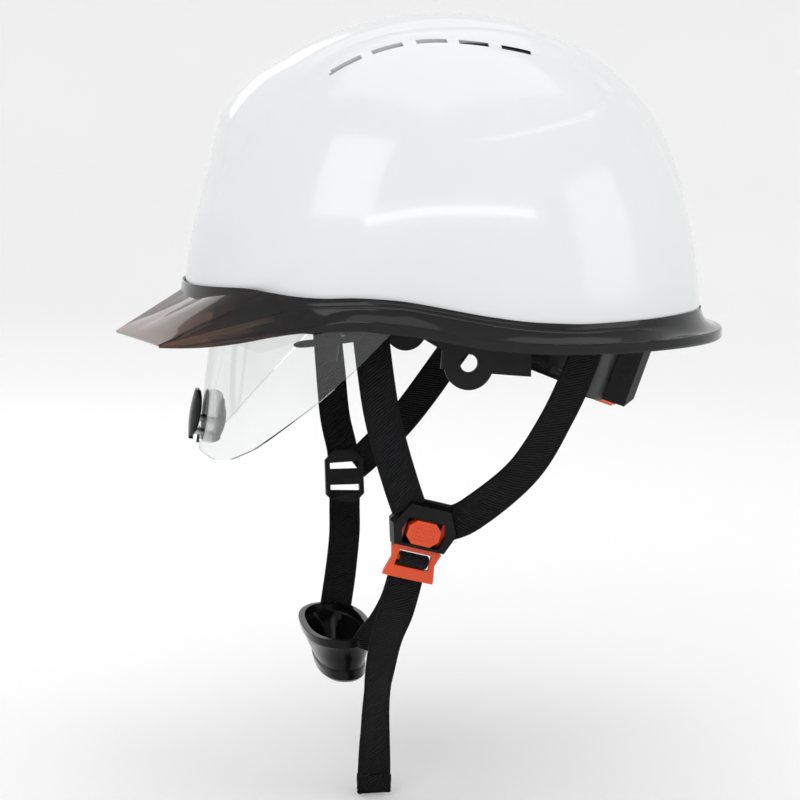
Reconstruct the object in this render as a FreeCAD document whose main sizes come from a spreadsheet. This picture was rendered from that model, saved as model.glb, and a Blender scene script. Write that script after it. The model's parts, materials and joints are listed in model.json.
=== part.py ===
import FreeCAD, Part
import math
import os

import Sketcher

# Hard hat with a retractable clear shield.  Millimetres.
# +Z is up, -X is the wearer's front, +Y is the wearer's right.
# The origin is the centre of the wearer's head at the level of the rear lip of the brim.

Vec = FreeCAD.Vector
doc = FreeCAD.newDocument("hard_hat")

# ---------------------------------------------------------------- driving dimensions
SIZES = {
    # dome of the shell
    "dome_half_length": 123.5, "dome_half_width": 103.0, "dome_height": 150.0,
    "dome_centre": 1.0, "band_height": 153.0, "band_half_width": 34.0, "shell_wall": 2.6,
    # vent slots
    "vent_length": 14.0, "vent_height": 3.4, "vent_row": 47.5,
    # brim
    "brim_front": 128.0, "brim_rear": 135.0, "brim_half_width": 111.0, "brim_wall": 2.5,
    "peak_reach": 155.0, "peak_corner_reach": 137.0, "peak_corner_half": 48.0,
    "fit_gap": 0.35, "carrier_height": 8.0,
    # liner
    "liner_wall": 14.0,
    # cradle and headband
    "cradle_front": 102.5, "cradle_rear": 112.0, "cradle_half_width": 85.0,
    "cradle_wall": 3.0, "cradle_height": 8.0,
    "band_front": 96.5, "band_rear": 88.0, "headband_half_width": 80.0, "headband_wall": 1.8,
    "headband_height": 30.0, "ear_hole_radius": 4.0, "ear_ring_radius": 8.0,
    # shield
    "lens_front": 109.8, "lens_half_width": 92.0, "lens_wall": 2.0, "lens_lean": 8.5,
    "slider_length": 20.0, "slider_height": 3.4, "slider_depth": 2.4,
    "rail_width": 6.0, "rail_depth": 1.5, "rail_length": 66.0,
    "grip_width": 21.0, "grip_height": 24.0, "grip_depth": 2.2,
    "pin_radius": 1.6, "pin_length": 9.6,
    # nape
    "knob_place": 89.0, "knob_drop": 18.0, "nape_tilt": 20.0,
    "knob_radius": 19.0, "knob_depth": 8.0, "shaft_radius": 3.0, "shaft_length": 5.4,
    "shaft_hole_radius": 3.06,
    "nape_radius": 83.0, "nape_wall": 2.2, "nape_height": 34.0,
    "rack_radius": 80.3, "rack_wall": 1.7, "rack_height": 6.0,
    "rack_cover_wall": 1.3, "pinion_radius": 4.3, "pinion_depth": 1.5, "hood_width": 54.0, "hood_height": 41.0,
    "nape_pad_wall": 3.6,
    # straps, buckle and chin cup
    "web_width": 16.0, "web_wall": 1.5,
    "buckle_width": 32.2, "buckle_height": 22.6, "buckle_base_depth": 3.6, "buckle_cover_depth": 3.6,
    "button_width": 15.0, "button_height": 11.4, "button_depth": 3.9, "button_drop": 2.6,
    "well_width": 21.4, "well_height": 20.0, "tongue_depth": 2.25,
    "spring_radius": 3.0, "spring_wire": 0.5, "spring_rise": 1.9,
    "cup_length": 17.0, "cup_half_width": 38.0, "cup_depth": 27.0, "cup_wall": 3.0,
}

sheet = doc.addObject("Spreadsheet::Sheet", "sizes")
for row, (alias, number) in enumerate(SIZES.items(), start=1):
    sheet.set("A%d" % row, alias)
    sheet.set("B%d" % row, str(number))
    sheet.setAlias("B%d" % row, alias)
doc.recompute()

PARTS = []            # every sub-part, in the order in which it is written


def size(alias):
    """One driving dimension, read from the sheet."""
    return float(sheet.get(alias))


def bind(thing, **links):
    """Tie properties of an object to cells of the sheet."""
    for name, formula in links.items():
        for alias in sorted(SIZES, key=len, reverse=True):
            formula = formula.replace("@" + alias, "sizes." + alias)
        thing.setExpression(name.replace("__", "."), formula)


def keep(thing, label):
    """Name a finished object and list it as a sub-part."""
    thing.Label = label
    PARTS.append(thing)
    return thing


def feature(label, shape, placement=None):
    """A sub-part whose free-form shape is worked out here."""
    thing = doc.addObject("Part::Feature", label)
    thing.Shape = shape
    if placement is not None:
        thing.Placement = placement
    return keep(thing, label)


# ---------------------------------------------------------------- small geometry helpers
def oval_points(front, rear, half_width, power=2.3, count=28, centre=0.0):
    """Points round a squarish oval; front and rear reach may differ."""
    points = []
    for step in range(count):
        turn = 2 * math.pi * step / count
        along = math.copysign(abs(math.cos(turn)) ** (2 / power), math.cos(turn))
        across = math.copysign(abs(math.sin(turn)) ** (2 / power), math.sin(turn))
        reach = rear if along > 0 else front
        points.append(Vec(centre + reach * along, half_width * across, 0))
    return points


def oval_wire(front, rear, half_width, height=0.0, **options):
    curve = Part.BSplineCurve()
    points = [p + Vec(0, 0, height) for p in oval_points(front, rear, half_width, **options)]
    curve.interpolate(points, PeriodicFlag=True)
    return Part.Wire(curve.toShape())


def oval_prism(front, rear, half_width, low, high, **options):
    face = Part.Face(oval_wire(front, rear, half_width, low, **options))
    return face.extrude(Vec(0, 0, high - low))


def oval_ring(front, rear, half_width, wall, low, high, **options):
    outside = oval_prism(front, rear, half_width, low, high, **options)
    inside = oval_prism(front - wall, rear - wall, half_width - wall, low - 1, high + 1, **options)
    return outside.cut(inside)


def dome_scale(part_of_height, power=2.25):
    return (1 - part_of_height ** power) ** (1 / power)


def dome(inset=0.0, height=None, low=-30.0, reach=0.0):
    """Solid dome: superellipse in plan and in profile, standing on a straight skirt."""
    height = (height or size("dome_height")) - inset
    half_length = size("dome_half_length") + reach - inset
    half_width = size("dome_half_width") + min(reach, 1.5) - inset
    wires = [oval_wire(half_length, half_length, half_width, low, centre=size("dome_centre"))]
    for part_of_height in (0.0, 0.2, 0.38, 0.54, 0.68, 0.79, 0.88, 0.94, 0.975, 0.995):
        scale = dome_scale(part_of_height)
        wires.append(oval_wire(half_length * scale, half_length * scale, half_width * scale,
                               height * part_of_height, centre=size("dome_centre")))
    return Part.makeLoft(wires, True, False)


def curve_edge(pairs):
    """Smooth edge in the XZ plane through (x, z) pairs."""
    curve = Part.BSplineCurve()
    curve.interpolate([Vec(x, 0, z) for x, z in pairs])
    return curve.toShape()


def side_prism(top, bottom, half_width=130.0):
    """Solid between two smooth (x, z) lines, as wide as the hat."""
    upper = curve_edge(top)
    lower = curve_edge(bottom)
    front = Part.makeLine(Vec(bottom[0][0], 0, bottom[0][1]), Vec(top[0][0], 0, top[0][1]))
    rear = Part.makeLine(Vec(top[-1][0], 0, top[-1][1]), Vec(bottom[-1][0], 0, bottom[-1][1]))
    face = Part.Face(Part.Wire([front, upper, rear, lower]))
    prism = face.extrude(Vec(0, 2 * half_width, 0))
    prism.translate(Vec(0, -half_width, 0))
    return prism


def corner_prism(corners, low_y, high_y):
    """Straight-sided (x, z) outline drawn out along Y."""
    points = [Vec(x, low_y, z) for x, z in corners]
    face = Part.Face(Part.makePolygon(points + points[:1]))
    return face.extrude(Vec(0, high_y - low_y, 0))


def raised(pairs, lift):
    return [(x, z + lift) for x, z in pairs]


def facet_plate(corners, triangles, wall):
    """Plate of one vertical thickness under flat triangular facets."""
    lower = [c - Vec(0, 0, wall) for c in corners]
    faces = [[corners[i] for i in tri] for tri in triangles]
    faces += [[lower[i] for i in reversed(tri)] for tri in triangles]
    sides = [(tri[k], tri[(k + 1) % 3]) for tri in triangles for k in range(3)]
    for a, b in sides:
        if (b, a) not in sides:
            faces.append([corners[a], corners[b], lower[b]])
            faces.append([corners[a], lower[b], lower[a]])
    skins = [Part.Face(Part.makePolygon(f + f[:1])) for f in faces]
    solid = Part.Solid(Part.makeShell(skins))
    if solid.Volume < 0:
        solid.reverse()
    return solid


def band_solid(path, normals, width, wall):
    """Flat webbing: a rectangle carried along a path and kept square to its normals."""
    wires = []
    for i, (point, normal) in enumerate(zip(path, normals)):
        before = path[max(i - 1, 0)]
        after = path[min(i + 1, len(path) - 1)]
        along = (after - before).normalize()
        across = along.cross(normal).normalize() * (width / 2)
        out = across.cross(along).normalize() * (wall / 2)
        corners = [point + across + out, point - across + out,
                   point - across - out, point + across - out]
        wires.append(Part.makePolygon(corners + corners[:1]))
    return Part.makeLoft(wires, True, True)


# ---------------------------------------------------------------- lines that several pieces share
# The brim's lower lip dips over the eyes' corners and rises over the temples.
LIP = [(-130, -1), (-116, 2), (-101, 6.2), (-80, 11), (-55, 12.6), (-30, 10),
       (0, 4), (28, 1.4), (60, 0.6), (100, 0.5), (140, 0.5)]
# The line where the brim meets the dome.
SEAM = [(-130, 27), (-116, 28), (-98, 29), (-85, 26.5), (-70, 25.4), (-55, 26.2), (-36, 25),
        (-20, 22), (0, 18), (20, 15), (45, 13.4), (80, 14), (105, 14.8), (140, 14.5)]


# The shell's own lower edge: just inside the brim in front, low behind the ears.
SHELL_EDGE = [(-130, 24), (-116, 25), (-98, 26), (-85, 23.5), (-72, 21.5), (-58, 18.5), (-44, 16.4),
              (-20, 12.8), (0, 8.7), (28, 5.9), (60, 5.1), (100, 4.9), (140, 4.9)]


def lip_height(x):
    for (x0, z0), (x1, z1) in zip(LIP, LIP[1:]):
        if x0 <= x <= x1:
            return z0 + (z1 - z0) * (x - x0) / (x1 - x0)
    return LIP[-1][1]


def make_shell():
    wall = size("shell_wall")
    width = size("band_half_width")
    # centre band: flat brow below the kink, then over the crown
    brow = corner_prism([(-120.2, 33), (-104, 104), (-88, 122), (-60, 139), (-20, 153), (22, 153),
                         (65, 138), (98, 107), (110, 60), (0, 33)], -width, width)
    band = brow.common(dome(height=size("band_height"), reach=9.0))
    outside = dome().fuse(band).removeSplitter()
    hollow = dome(inset=wall)
    trim = side_prism(SHELL_EDGE, raised(SHELL_EDGE, -60))
    shell = outside.cut(hollow).cut(trim)
    return shell.cut(vent_cutters(30.0))


def vent_cutters(depth):
    """Five slots a side, in a row under the edge of the centre band."""
    cutters = []
    for side in (-1, 1):
        for place in (-52.0, -33.0, -13.0, 6.5, 26.5):
            slot = Part.makeBox(size("vent_length"), 2 * depth, size("vent_height"),
                                Vec(-size("vent_length") / 2, -depth, -size("vent_height") / 2))
            slot.rotate(Vec(0, 0, 0), Vec(1, 0, 0), -side * -38)
            slot.rotate(Vec(0, 0, 0), Vec(0, 1, 0), place * 0.42)
            height = 138.0 - 0.0036 * (place - 3) ** 2
            slot.translate(Vec(place, side * size("vent_row"), height))
            cutters.append(slot)
    return Part.makeCompound(cutters)


def peak_plate():
    """Pointed, faceted peak: one ridge, two main facets and two side facets."""
    tip = Vec(-size("peak_reach"), 0, 3.8)
    root = Vec(-112, 0, 31)
    corner = Vec(-size("peak_corner_reach"), -size("peak_corner_half"), 0.8)
    crease = Vec(-86, -70, 30)
    side = Vec(-92, -82.5, 9.5)
    mirror = [Vec(p.x, -p.y, p.z) for p in (corner, crease, side)]
    corners = [tip, root, corner, crease, side] + mirror
    facets = [(0, 2, 1), (2, 3, 1), (2, 4, 3), (0, 1, 5), (5, 1, 6), (5, 6, 7)]
    return facet_plate(corners, facets, size("brim_wall"))


def make_brim():
    wall = size("brim_wall")
    front, rear, half = size("brim_front"), size("brim_rear"), size("brim_half_width")
    outside = oval_prism(front, rear, half, -30, 60).common(side_prism(SEAM, LIP))
    channel = oval_prism(front - wall, rear - wall, half - wall, -30, 60)
    channel = channel.common(side_prism(raised(SEAM, -wall), raised(LIP, -20)))
    rim = outside.cut(channel)
    rim = rim.cut(Part.makeBox(100, 300, 120, Vec(-197, -150, -40)))
    brim = rim.fuse(peak_plate()).cut(dome(inset=-size("fit_gap")))
    return max(brim.Solids, key=lambda solid: solid.Volume)


def make_carrier():
    """Black ring in the brim's channel, with a flange under the shell's edge."""
    gap = size("fit_gap")
    inset = size("brim_wall") + gap
    front, rear, half = size("brim_front"), size("brim_rear"), size("brim_half_width")
    blank = oval_prism(front - inset - 0.5, rear - inset, half - inset, -30, 60)
    low = raised(LIP, 0.8)
    web = blank.common(side_prism(raised(low, size("carrier_height")), low)).cut(dome(inset=-gap))
    foot = blank.common(side_prism(raised(low, 3.0), low))
    foot = foot.cut(dome(inset=size("shell_wall") + 1.0))
    carrier = web.fuse(foot)
    # the flange reaches further in behind the ears, where the cradle hangs from it
    shelf = blank.common(side_prism(raised(low, 3.0), low)).cut(dome(inset=size("shell_wall") + 5.0))
    shelf = shelf.common(Part.makeBox(140, 260, 60, Vec(-12, -130, -20)))
    carrier = carrier.fuse(shelf)
    # room under the peak
    clear = side_prism([(-140, 60), (-96, 60)], [(-140, 8.5), (-96, 9.5)])
    return carrier.cut(clear).cut(rim_screw_holes()).removeSplitter()


def make_liner():
    inset = size("shell_wall") + 0.5
    outside = dome(inset=inset, low=20.0)
    inside = dome(inset=inset + size("liner_wall"), low=20.0)
    trim = corner_prism([(-140, -10), (140, -10), (140, 46), (-30, 84), (-140, 92)], -130, 130)
    return outside.cut(inside).cut(trim).cut(vent_cutters(40.0))


def cradle_level(lift):
    """The hoop of the cradle climbs towards the brow."""
    return [(-140, 17.2 + lift), (0, 9.0 + lift), (140, 1.6 + lift)]


def make_cradle():
    ring = oval_ring(size("cradle_front"), size("cradle_rear"), size("cradle_half_width"),
                     size("cradle_wall"), -30, 60)
    return ring.common(side_prism(cradle_level(size("cradle_height")), cradle_level(0)))


def headband_level(lift):
    return [(-140, 21.5 + lift), (0, 6.0 + lift), (140, -9.5 + lift)]


def make_headband():
    """Flexible band round brow and temples, with a round tab above each ear."""
    half_width = size("headband_half_width")
    half = size("headband_height") / 2
    ring = oval_ring(size("band_front"), size("band_rear"), half_width, size("headband_wall"),
                     -60, 80, power=2.15)
    # side outline: the band, cut square behind the ear, with the tab hanging below it
    band = ring.common(side_prism(headband_level(half), headband_level(-half)))
    band = band.common(Part.makeBox(150, 300, 200, Vec(-123, -150, -100)))
    tab = Part.makeCylinder(size("ear_ring_radius") + 3, 300, Vec(-2, -150, -6), Vec(0, 1, 0))
    band = band.fuse(ring.common(tab))
    hole = Part.makeCylinder(size("ear_hole_radius"), 300, Vec(-2, -150, -5), Vec(0, 1, 0))
    return band.cut(hole)


def make_sweatband():
    inset = size("headband_wall") + 0.3
    ring = oval_ring(size("band_front") - inset, size("band_rear") - inset,
                     size("headband_half_width") - inset, 4.0, -60, 80, power=2.15)
    band = ring.common(side_prism(headband_level(13.5), headband_level(-13.5)))
    return band.common(Part.makeBox(70, 300, 200, Vec(-110, -150, -100)))


def arc_through(points):
    curve = Part.BSplineCurve()
    curve.interpolate(points)
    return curve


def oval_half_width(x, front, rear, half_width, power=2.3):
    """Half width of an oval at a place along it."""
    reach = rear if x > 0 else front
    return half_width * (1 - (abs(x) / reach) ** power) ** (1 / power)


def oval_radius(turn, front, rear, half_width, power=2.3):
    """Distance from the middle to an oval's edge; the turn is counted from the rear."""
    reach = rear if math.cos(turn) > 0 else front
    along = abs(math.cos(turn) / reach) ** power
    across = abs(math.sin(turn) / half_width) ** power
    return (along + across) ** (-1 / power)


def cradle_top(x):
    slope = 8.2 if x < 0 else 7.4
    return 9.0 - slope * x / 140 + size("cradle_height")


def cradle_middle(x):
    wall = size("cradle_wall") / 2
    return oval_half_width(x, size("cradle_front") - wall, size("cradle_rear") - wall,
                           size("cradle_half_width") - wall)


def cradle_slope(x):
    return (cradle_middle(x + 1) - cradle_middle(x - 1)) / 2


CROWN_PLACES = (-64.0, 4.0, 72.0)
HOOK_HEIGHT = 2.2


def make_crown_strap(place, rise):
    """Webbing arch across the head: it is highest at the middle and ends in two clips."""
    path, normals = [], []
    half = cradle_middle(place)
    level = cradle_top(place) + HOOK_HEIGHT + 3.2
    slope = cradle_slope(place)
    for step in range(17):
        turn = math.pi * step / 16
        y = -half * math.cos(turn)
        height = level + (rise - level) * math.sin(turn) ** 0.88
        lean = place * (0.35 + 0.65 * (1 - math.sin(turn)))
        path.append(Vec(lean, y, height))
        normals.append(Vec(-slope * abs(math.cos(turn)), -math.cos(turn), math.sin(turn) + 0.05))
    return band_solid(path, normals, 19.0, 1.4)


def make_crown_hooks():
    """Clips on top of the cradle hoop, one under each end of the crown webbing."""
    hooks = []
    for place in CROWN_PLACES:
        for side in (-1, 1):
            hook = Part.makeBox(15, 2.4, HOOK_HEIGHT, Vec(-7.5, -1.2, 0))
            hook.rotate(Vec(0, 0, 0), Vec(0, 0, 1), side * math.degrees(math.atan(cradle_slope(place))))
            hook.translate(Vec(place, side * (cradle_middle(place) - 0.6), cradle_top(place) + 0.8))
            hooks.append(hook)
    return Part.makeCompound(hooks)


def spoke(turn, near, far, width, low, high):
    """Block that reaches outward from the middle between two distances."""
    block = Part.makeBox(far - near, width, high - low, Vec(near, -width / 2, low))
    block.rotate(Vec(0, 0, 0), Vec(0, 0, 1), math.degrees(turn))
    return block


def make_brackets():
    """Blocks that stand on the carrier's shelf and hold the cradle hoop."""
    blocks = []
    for degrees in (85, 38, -38, -85):
        turn = math.radians(degrees)
        near = oval_radius(turn, size("cradle_front"), size("cradle_rear"), size("cradle_half_width")) - 6.0
        inset = size("shell_wall") + 2.5
        far = oval_radius(turn, 124 - inset, 124 - inset, size("dome_half_width") - inset)
        low = lip_height(far * math.cos(turn)) + 4.6
        block = spoke(turn, near, far, 14, low, low + 6.0)
        hoop = oval_prism(size("cradle_front") + 0.3, size("cradle_rear") + 0.3,
                          size("cradle_half_width") + 0.3, -30, 60)
        blocks.append(block.cut(hoop))
    return Part.makeCompound(blocks)


def make_hangers():
    """Clips between the headband and the cradle hoop."""
    blocks = []
    inset = size("cradle_wall") + 0.3
    hoop = oval_prism(size("cradle_front") - inset, size("cradle_rear") - inset,
                      size("cradle_half_width") - inset, -30, 60)
    head = oval_prism(size("band_front") + 0.3, size("band_rear") + 0.3,
                      size("headband_half_width") + 0.3, -40, 70, power=2.15)
    for degrees in (147, 78, -78, -147):
        turn = math.radians(degrees)
        low = cradle_top(90 * math.cos(turn)) - size("cradle_height") + 1.0
        block = spoke(turn, 70, 110, 9, low, low + 6.0)
        blocks.append(block.common(hoop).cut(head))
    return Part.makeCompound(blocks)


def make_anchors():
    """Clips over the cradle hoop at the top of each chin strap."""
    clear_of_shield = lens_prism(6.8)
    blocks = []
    for x, y in ((-45.5, -76.4), (55.5, -79.2), (-46, 76.4), (46, 82.0)):
        side = 1 if y > 0 else -1
        block = Part.makeBox(18, 6.2, 2.6, Vec(-9, -3.1, 0))
        block.rotate(Vec(0, 0, 0), Vec(0, 0, 1), side * math.degrees(math.atan(cradle_slope(x))))
        block.translate(Vec(x, y, cradle_top(x) + 1.0))
        blocks.append(block.common(clear_of_shield))
    return Part.makeCompound(blocks)


SCREW_TURNS = (48, 92, 136, -48, -92, -136)


def rim_screw_places():
    places = []
    inset = size("brim_wall") + size("fit_gap")
    for degrees in SCREW_TURNS:
        turn = math.radians(degrees)
        outer = oval_radius(turn, size("brim_front") - inset, size("brim_rear") - inset,
                            size("brim_half_width") - inset)
        inner = oval_radius(turn, 123, 125, size("dome_half_width") + size("fit_gap"))
        radius = (outer + inner) / 2
        x = radius * math.cos(turn)
        places.append(Vec(x, radius * math.sin(turn), lip_height(x) + 0.9))
    return places


def make_rim_screws():
    screws = []
    for place in rim_screw_places():
        head = Part.makeCylinder(1.9, 1.2, place)
        slot = Part.makeCylinder(0.9, 0.7, place)
        stem = Part.makeCylinder(1.0, 4.0, place + Vec(0, 0, 1.2))
        screws.append(head.cut(slot).fuse(stem).removeSplitter())
    return Part.makeCompound(screws)


def rim_screw_holes():
    cutters = []
    for place in rim_screw_places():
        cutters.append(Part.makeCylinder(2.0, 3.3, place - Vec(0, 0, 2.0)))
        cutters.append(Part.makeCylinder(1.05, 6.5, place - Vec(0, 0, 1.0)))
    return Part.makeCompound(cutters)


def make_click_spring():
    ring = Part.makeCylinder(12.5, 0.45, Vec(0, 0, -4.72))
    return ring.cut(Part.makeCylinder(8.0, 2, Vec(0, 0, -5.5)))


def make_nape_sector(radius, wall, low, high, half_angle, start_angle=None):
    """Part of a cylinder wall round the nape, in the nape frame, centred behind the head."""
    centre = size("nape_radius") + 5.0
    begin = -half_angle if start_angle is None else start_angle
    outer = Part.makeCylinder(radius, high - low, Vec(0, low, -centre), Vec(0, 1, 0), 360)
    inner = Part.makeCylinder(radius - wall, high - low + 2, Vec(0, low - 1, -centre), Vec(0, 1, 0), 360)
    ring = outer.cut(inner)
    far = radius * 3
    corners = [Vec(0, low - 1, -centre)]
    for angle in (begin, (begin + half_angle) / 2, half_angle):
        turn = math.radians(angle)
        corners.append(Vec(far * math.sin(turn), low - 1, far * math.cos(turn) - centre))
    wedge = Part.Face(Part.makePolygon(corners + corners[:1])).extrude(Vec(0, high - low + 2, 0))
    return ring.common(wedge)


def nape_frame():
    """Nape frame: X to the wearer's right, Y up along the tilted housing, Z rearward."""
    tilt = math.radians(size("nape_tilt"))
    across = Vec(0, 1, 0)
    up = Vec(math.sin(tilt), 0, math.cos(tilt))
    rearward = Vec(math.cos(tilt), 0, -math.sin(tilt))
    turn = FreeCAD.Rotation(across, up, rearward, "ZXY")
    return FreeCAD.Placement(Vec(size("knob_place"), 0, -size("knob_drop")), turn)


def make_nape_plate():
    half = size("nape_height") / 2
    plate = make_nape_sector(size("nape_radius"), size("nape_wall"), -half, half, 66)
    # the wings are lower than the middle
    for side in (-1, 1):
        for level in (-1, 1):
            near = level * 8
            far = level * (half + 5)
            corners = [Vec(side * 44, far, -120), Vec(side * 72, near, -120), Vec(side * 100, near, -120),
                       Vec(side * 100, far, -120)]
            wedge = Part.Face(Part.makePolygon(corners + corners[:1])).extrude(Vec(0, 0, 140))
            plate = plate.cut(wedge)
    return plate.cut(Part.makeCylinder(size("shaft_hole_radius"), 40, Vec(0, 0, -30), Vec(0, 0, 1)))


def make_rack(side):
    """Curved toothed arm; the right one runs over the pinion and the left one under it."""
    radius, wall, height = size("rack_radius"), size("rack_wall"), size("rack_height")
    gap = size("pinion_radius") + 0.9
    low, high = (gap, gap + height) if side > 0 else (-gap - height, -gap)
    begin, end = (-9, 63) if side > 0 else (-63, 9)
    arm = make_nape_sector(radius, wall, low, high, end, start_angle=begin)
    centre = size("nape_radius") + 5.0
    teeth = []
    for step in range(9):
        turn = math.radians(side * (-6 + 2.4 * step))
        tooth = Part.makeCylinder(0.62, wall, Vec(0, 0, 0), Vec(0, 0, 1))
        edge = low + 0.1 if side > 0 else high - 0.1
        tooth.translate(Vec(0, edge, radius - wall - centre))
        tooth.rotate(Vec(0, 0, -centre), Vec(0, 1, 0), math.degrees(turn))
        teeth.append(tooth)
    blade = arm.fuse(teeth)
    ring = Part.makeCylinder(radius, 40, Vec(0, -20, -centre), Vec(0, 1, 0))
    core = Part.makeCylinder(radius - wall, 42, Vec(0, -21, -centre), Vec(0, 1, 0))
    return blade.common(ring.cut(core)).removeSplitter()


def make_hood():
    """Cover over the thumbwheel, open below and hollow inside."""
    width, height = size("hood_width"), size("hood_height")
    block = Part.makeBox(width, height, 22, Vec(-width / 2, -16.3, -14.8))
    block = block.makeChamfer(5, [e for e in block.Edges
                                  if abs(e.BoundBox.ZMax - 7.2) < 0.01 and e.BoundBox.ZLength < 0.01])
    centre = size("nape_radius") + 5.0
    seat = Part.makeCylinder(size("nape_radius") + 0.3, 80, Vec(0, -40, -centre), Vec(0, 1, 0))
    well = Part.makeCylinder(size("knob_radius") + 0.9, 24, Vec(0, 0, -18.8), Vec(0, 0, 1))
    mouth = Part.makeBox(34, 14, 24, Vec(-17, -24, -18.8))
    hood = block.cut(seat).cut(well).cut(mouth)
    return max(hood.Solids, key=lambda solid: solid.Volume)


# ---------------------------------------------------------------- sketched bodies
def origin_plane(body, role):
    return [f for f in body.Origin.OriginFeatures if f.Role == role][0]


def new_body(label):
    return doc.addObject("PartDesign::Body", label)


def new_sketch(body, role="XY_Plane", offset=0.0):
    sketch = body.newObject("Sketcher::SketchObject", body.Name + "_sketch")
    sketch.AttachmentSupport = [(origin_plane(body, role), "")]
    sketch.MapMode = "FlatFace"
    sketch.AttachmentOffset = FreeCAD.Placement(Vec(0, 0, offset), FreeCAD.Rotation())
    return sketch


def draw_box(sketch, width, height, centre=(0.0, 0.0)):
    """Rectangle about a centre; width and height are aliases of the sheet."""
    wide, tall = size(width) / 2, size(height) / 2
    cx, cy = centre
    corners = [Vec(cx - wide, cy - tall, 0), Vec(cx + wide, cy - tall, 0),
               Vec(cx + wide, cy + tall, 0), Vec(cx - wide, cy + tall, 0)]
    first = sketch.GeometryCount
    for k in range(4):
        sketch.addGeometry(Part.LineSegment(corners[k], corners[(k + 1) % 4]), False)
    for k in range(4):
        sketch.addConstraint(Sketcher.Constraint("Coincident", first + k, 2, first + (k + 1) % 4, 1))
    for k in (0, 2):
        sketch.addConstraint(Sketcher.Constraint("Horizontal", first + k))
        sketch.addConstraint(Sketcher.Constraint("Vertical", first + k + 1))
    for edge, kind, alias in ((0, "DistanceX", width), (1, "DistanceY", height)):
        rule = Sketcher.Constraint(kind, first + edge, 1, first + edge, 2, size(alias))
        index = sketch.addConstraint(rule)
        sketch.setExpression("Constraints[%d]" % index, "sizes." + alias)
    sketch.addConstraint(Sketcher.Constraint("DistanceX", -1, 1, first, 1, cx - wide))
    sketch.addConstraint(Sketcher.Constraint("DistanceY", -1, 1, first, 1, cy - tall))


def draw_circle(sketch, alias, centre=(0.0, 0.0), radius=None):
    """Circle whose radius is an alias of the sheet, or a stated number."""
    number = size(alias) if radius is None else radius
    sketch.addGeometry(Part.Circle(Vec(centre[0], centre[1], 0), Vec(0, 0, 1), number), False)
    last = sketch.GeometryCount - 1
    index = sketch.addConstraint(Sketcher.Constraint("Radius", last, number))
    if radius is None:
        sketch.setExpression("Constraints[%d]" % index, "sizes." + alias)


def draw_polygon(sketch, points):
    for k, point in enumerate(points):
        after = points[(k + 1) % len(points)]
        sketch.addGeometry(Part.LineSegment(Vec(point[0], point[1], 0), Vec(after[0], after[1], 0)), False)


def pad(body, sketch, alias):
    thing = body.newObject("PartDesign::Pad", body.Name + "_pad")
    thing.Profile = sketch
    thing.Length = size(alias)
    thing.setExpression("Length", "sizes." + alias)
    body.Tip = thing
    sketch.Visibility = False
    return thing


def pocket(body, sketch, depth, reverse=False):
    thing = body.newObject("PartDesign::Pocket", body.Name + "_pocket")
    thing.Profile = sketch
    thing.Length = depth
    thing.Reversed = reverse
    body.Tip = thing
    return thing


def octagon(width, height, corner):
    wide, tall = width / 2, height / 2
    return [(-wide + corner, -tall), (wide - corner, -tall), (wide, -tall + corner),
            (wide, tall - corner), (wide - corner, tall), (-wide + corner, tall),
            (-wide, tall - corner), (-wide, -tall + corner)]


def make_knob():
    """Thumbwheel with notches round its edge, and the shaft that carries the pinion."""
    body = new_body("ratchet_knob")
    disc = new_sketch(body, offset=-size("knob_depth") / 2)
    draw_circle(disc, "knob_radius")
    pad(body, disc, "knob_depth")
    doc.recompute()
    notch = new_sketch(body, offset=-size("knob_depth") / 2)
    draw_circle(notch, "knob_radius", (0.0, size("knob_radius") + 1.1), radius=2.0)
    cut = pocket(body, notch, size("knob_depth"), reverse=True)
    doc.recompute()
    ring = body.newObject("PartDesign::PolarPattern", "knob_notches")
    ring.Originals = [cut]
    ring.Axis = (notch, ["N_Axis"])
    ring.Angle = 360
    ring.Occurrences = 24
    body.Tip = ring
    doc.recompute()
    shaft = new_sketch(body, offset=-size("knob_depth") / 2 - size("shaft_length"))
    draw_circle(shaft, "shaft_radius")
    stem = body.newObject("PartDesign::Pad", "knob_shaft")
    stem.Profile = shaft
    stem.Length = size("shaft_length")
    body.Tip = stem
    body.Placement = nape_frame()
    return keep(body, "ratchet_knob")


def make_pinion():
    body = new_body("ratchet_pinion")
    blank = new_sketch(body, offset=-9.35)
    teeth = 12
    points = []
    for step in range(teeth * 2):
        radius = size("pinion_radius") if step % 2 == 0 else size("pinion_radius") - 0.8
        turn = math.pi * step / teeth
        points.append((radius * math.cos(turn), radius * math.sin(turn)))
    draw_polygon(blank, points)
    draw_circle(blank, "shaft_hole_radius", radius=size("shaft_radius"))
    pad(body, blank, "pinion_depth")
    body.Placement = nape_frame()
    return keep(body, "ratchet_pinion")


# ---------------------------------------------------------------- buckle frame
WEB_DROP = Vec(-0.25, 0.187, -0.95)          # the way the webbing runs below the buckle


def buckle_frame(lift=0.0, up=0.0, across=0.0):
    """Buckle frame: Z outward from the cheek, Y up along the webbing."""
    up_axis = Vec(WEB_DROP).multiply(-1).normalize()
    out = Vec(0, -1, 0)
    out = (out - up_axis * out.dot(up_axis)).normalize()
    side = up_axis.cross(out)
    turn = FreeCAD.Rotation(side, up_axis, out, "ZXY")
    place = Vec(-20.3, -70.5, -79.5) + out * lift + up_axis * up + side * across
    return FreeCAD.Placement(place, turn)


def buckle_outline():
    """Six-sided outline, widest just under the middle."""
    wide, tall = size("buckle_width") / 2, size("buckle_height") / 2
    return [(-12.6, -tall), (12.6, -tall), (wide, -0.6), (10.0, tall), (-10.0, tall), (-wide, -0.6)]


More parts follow.
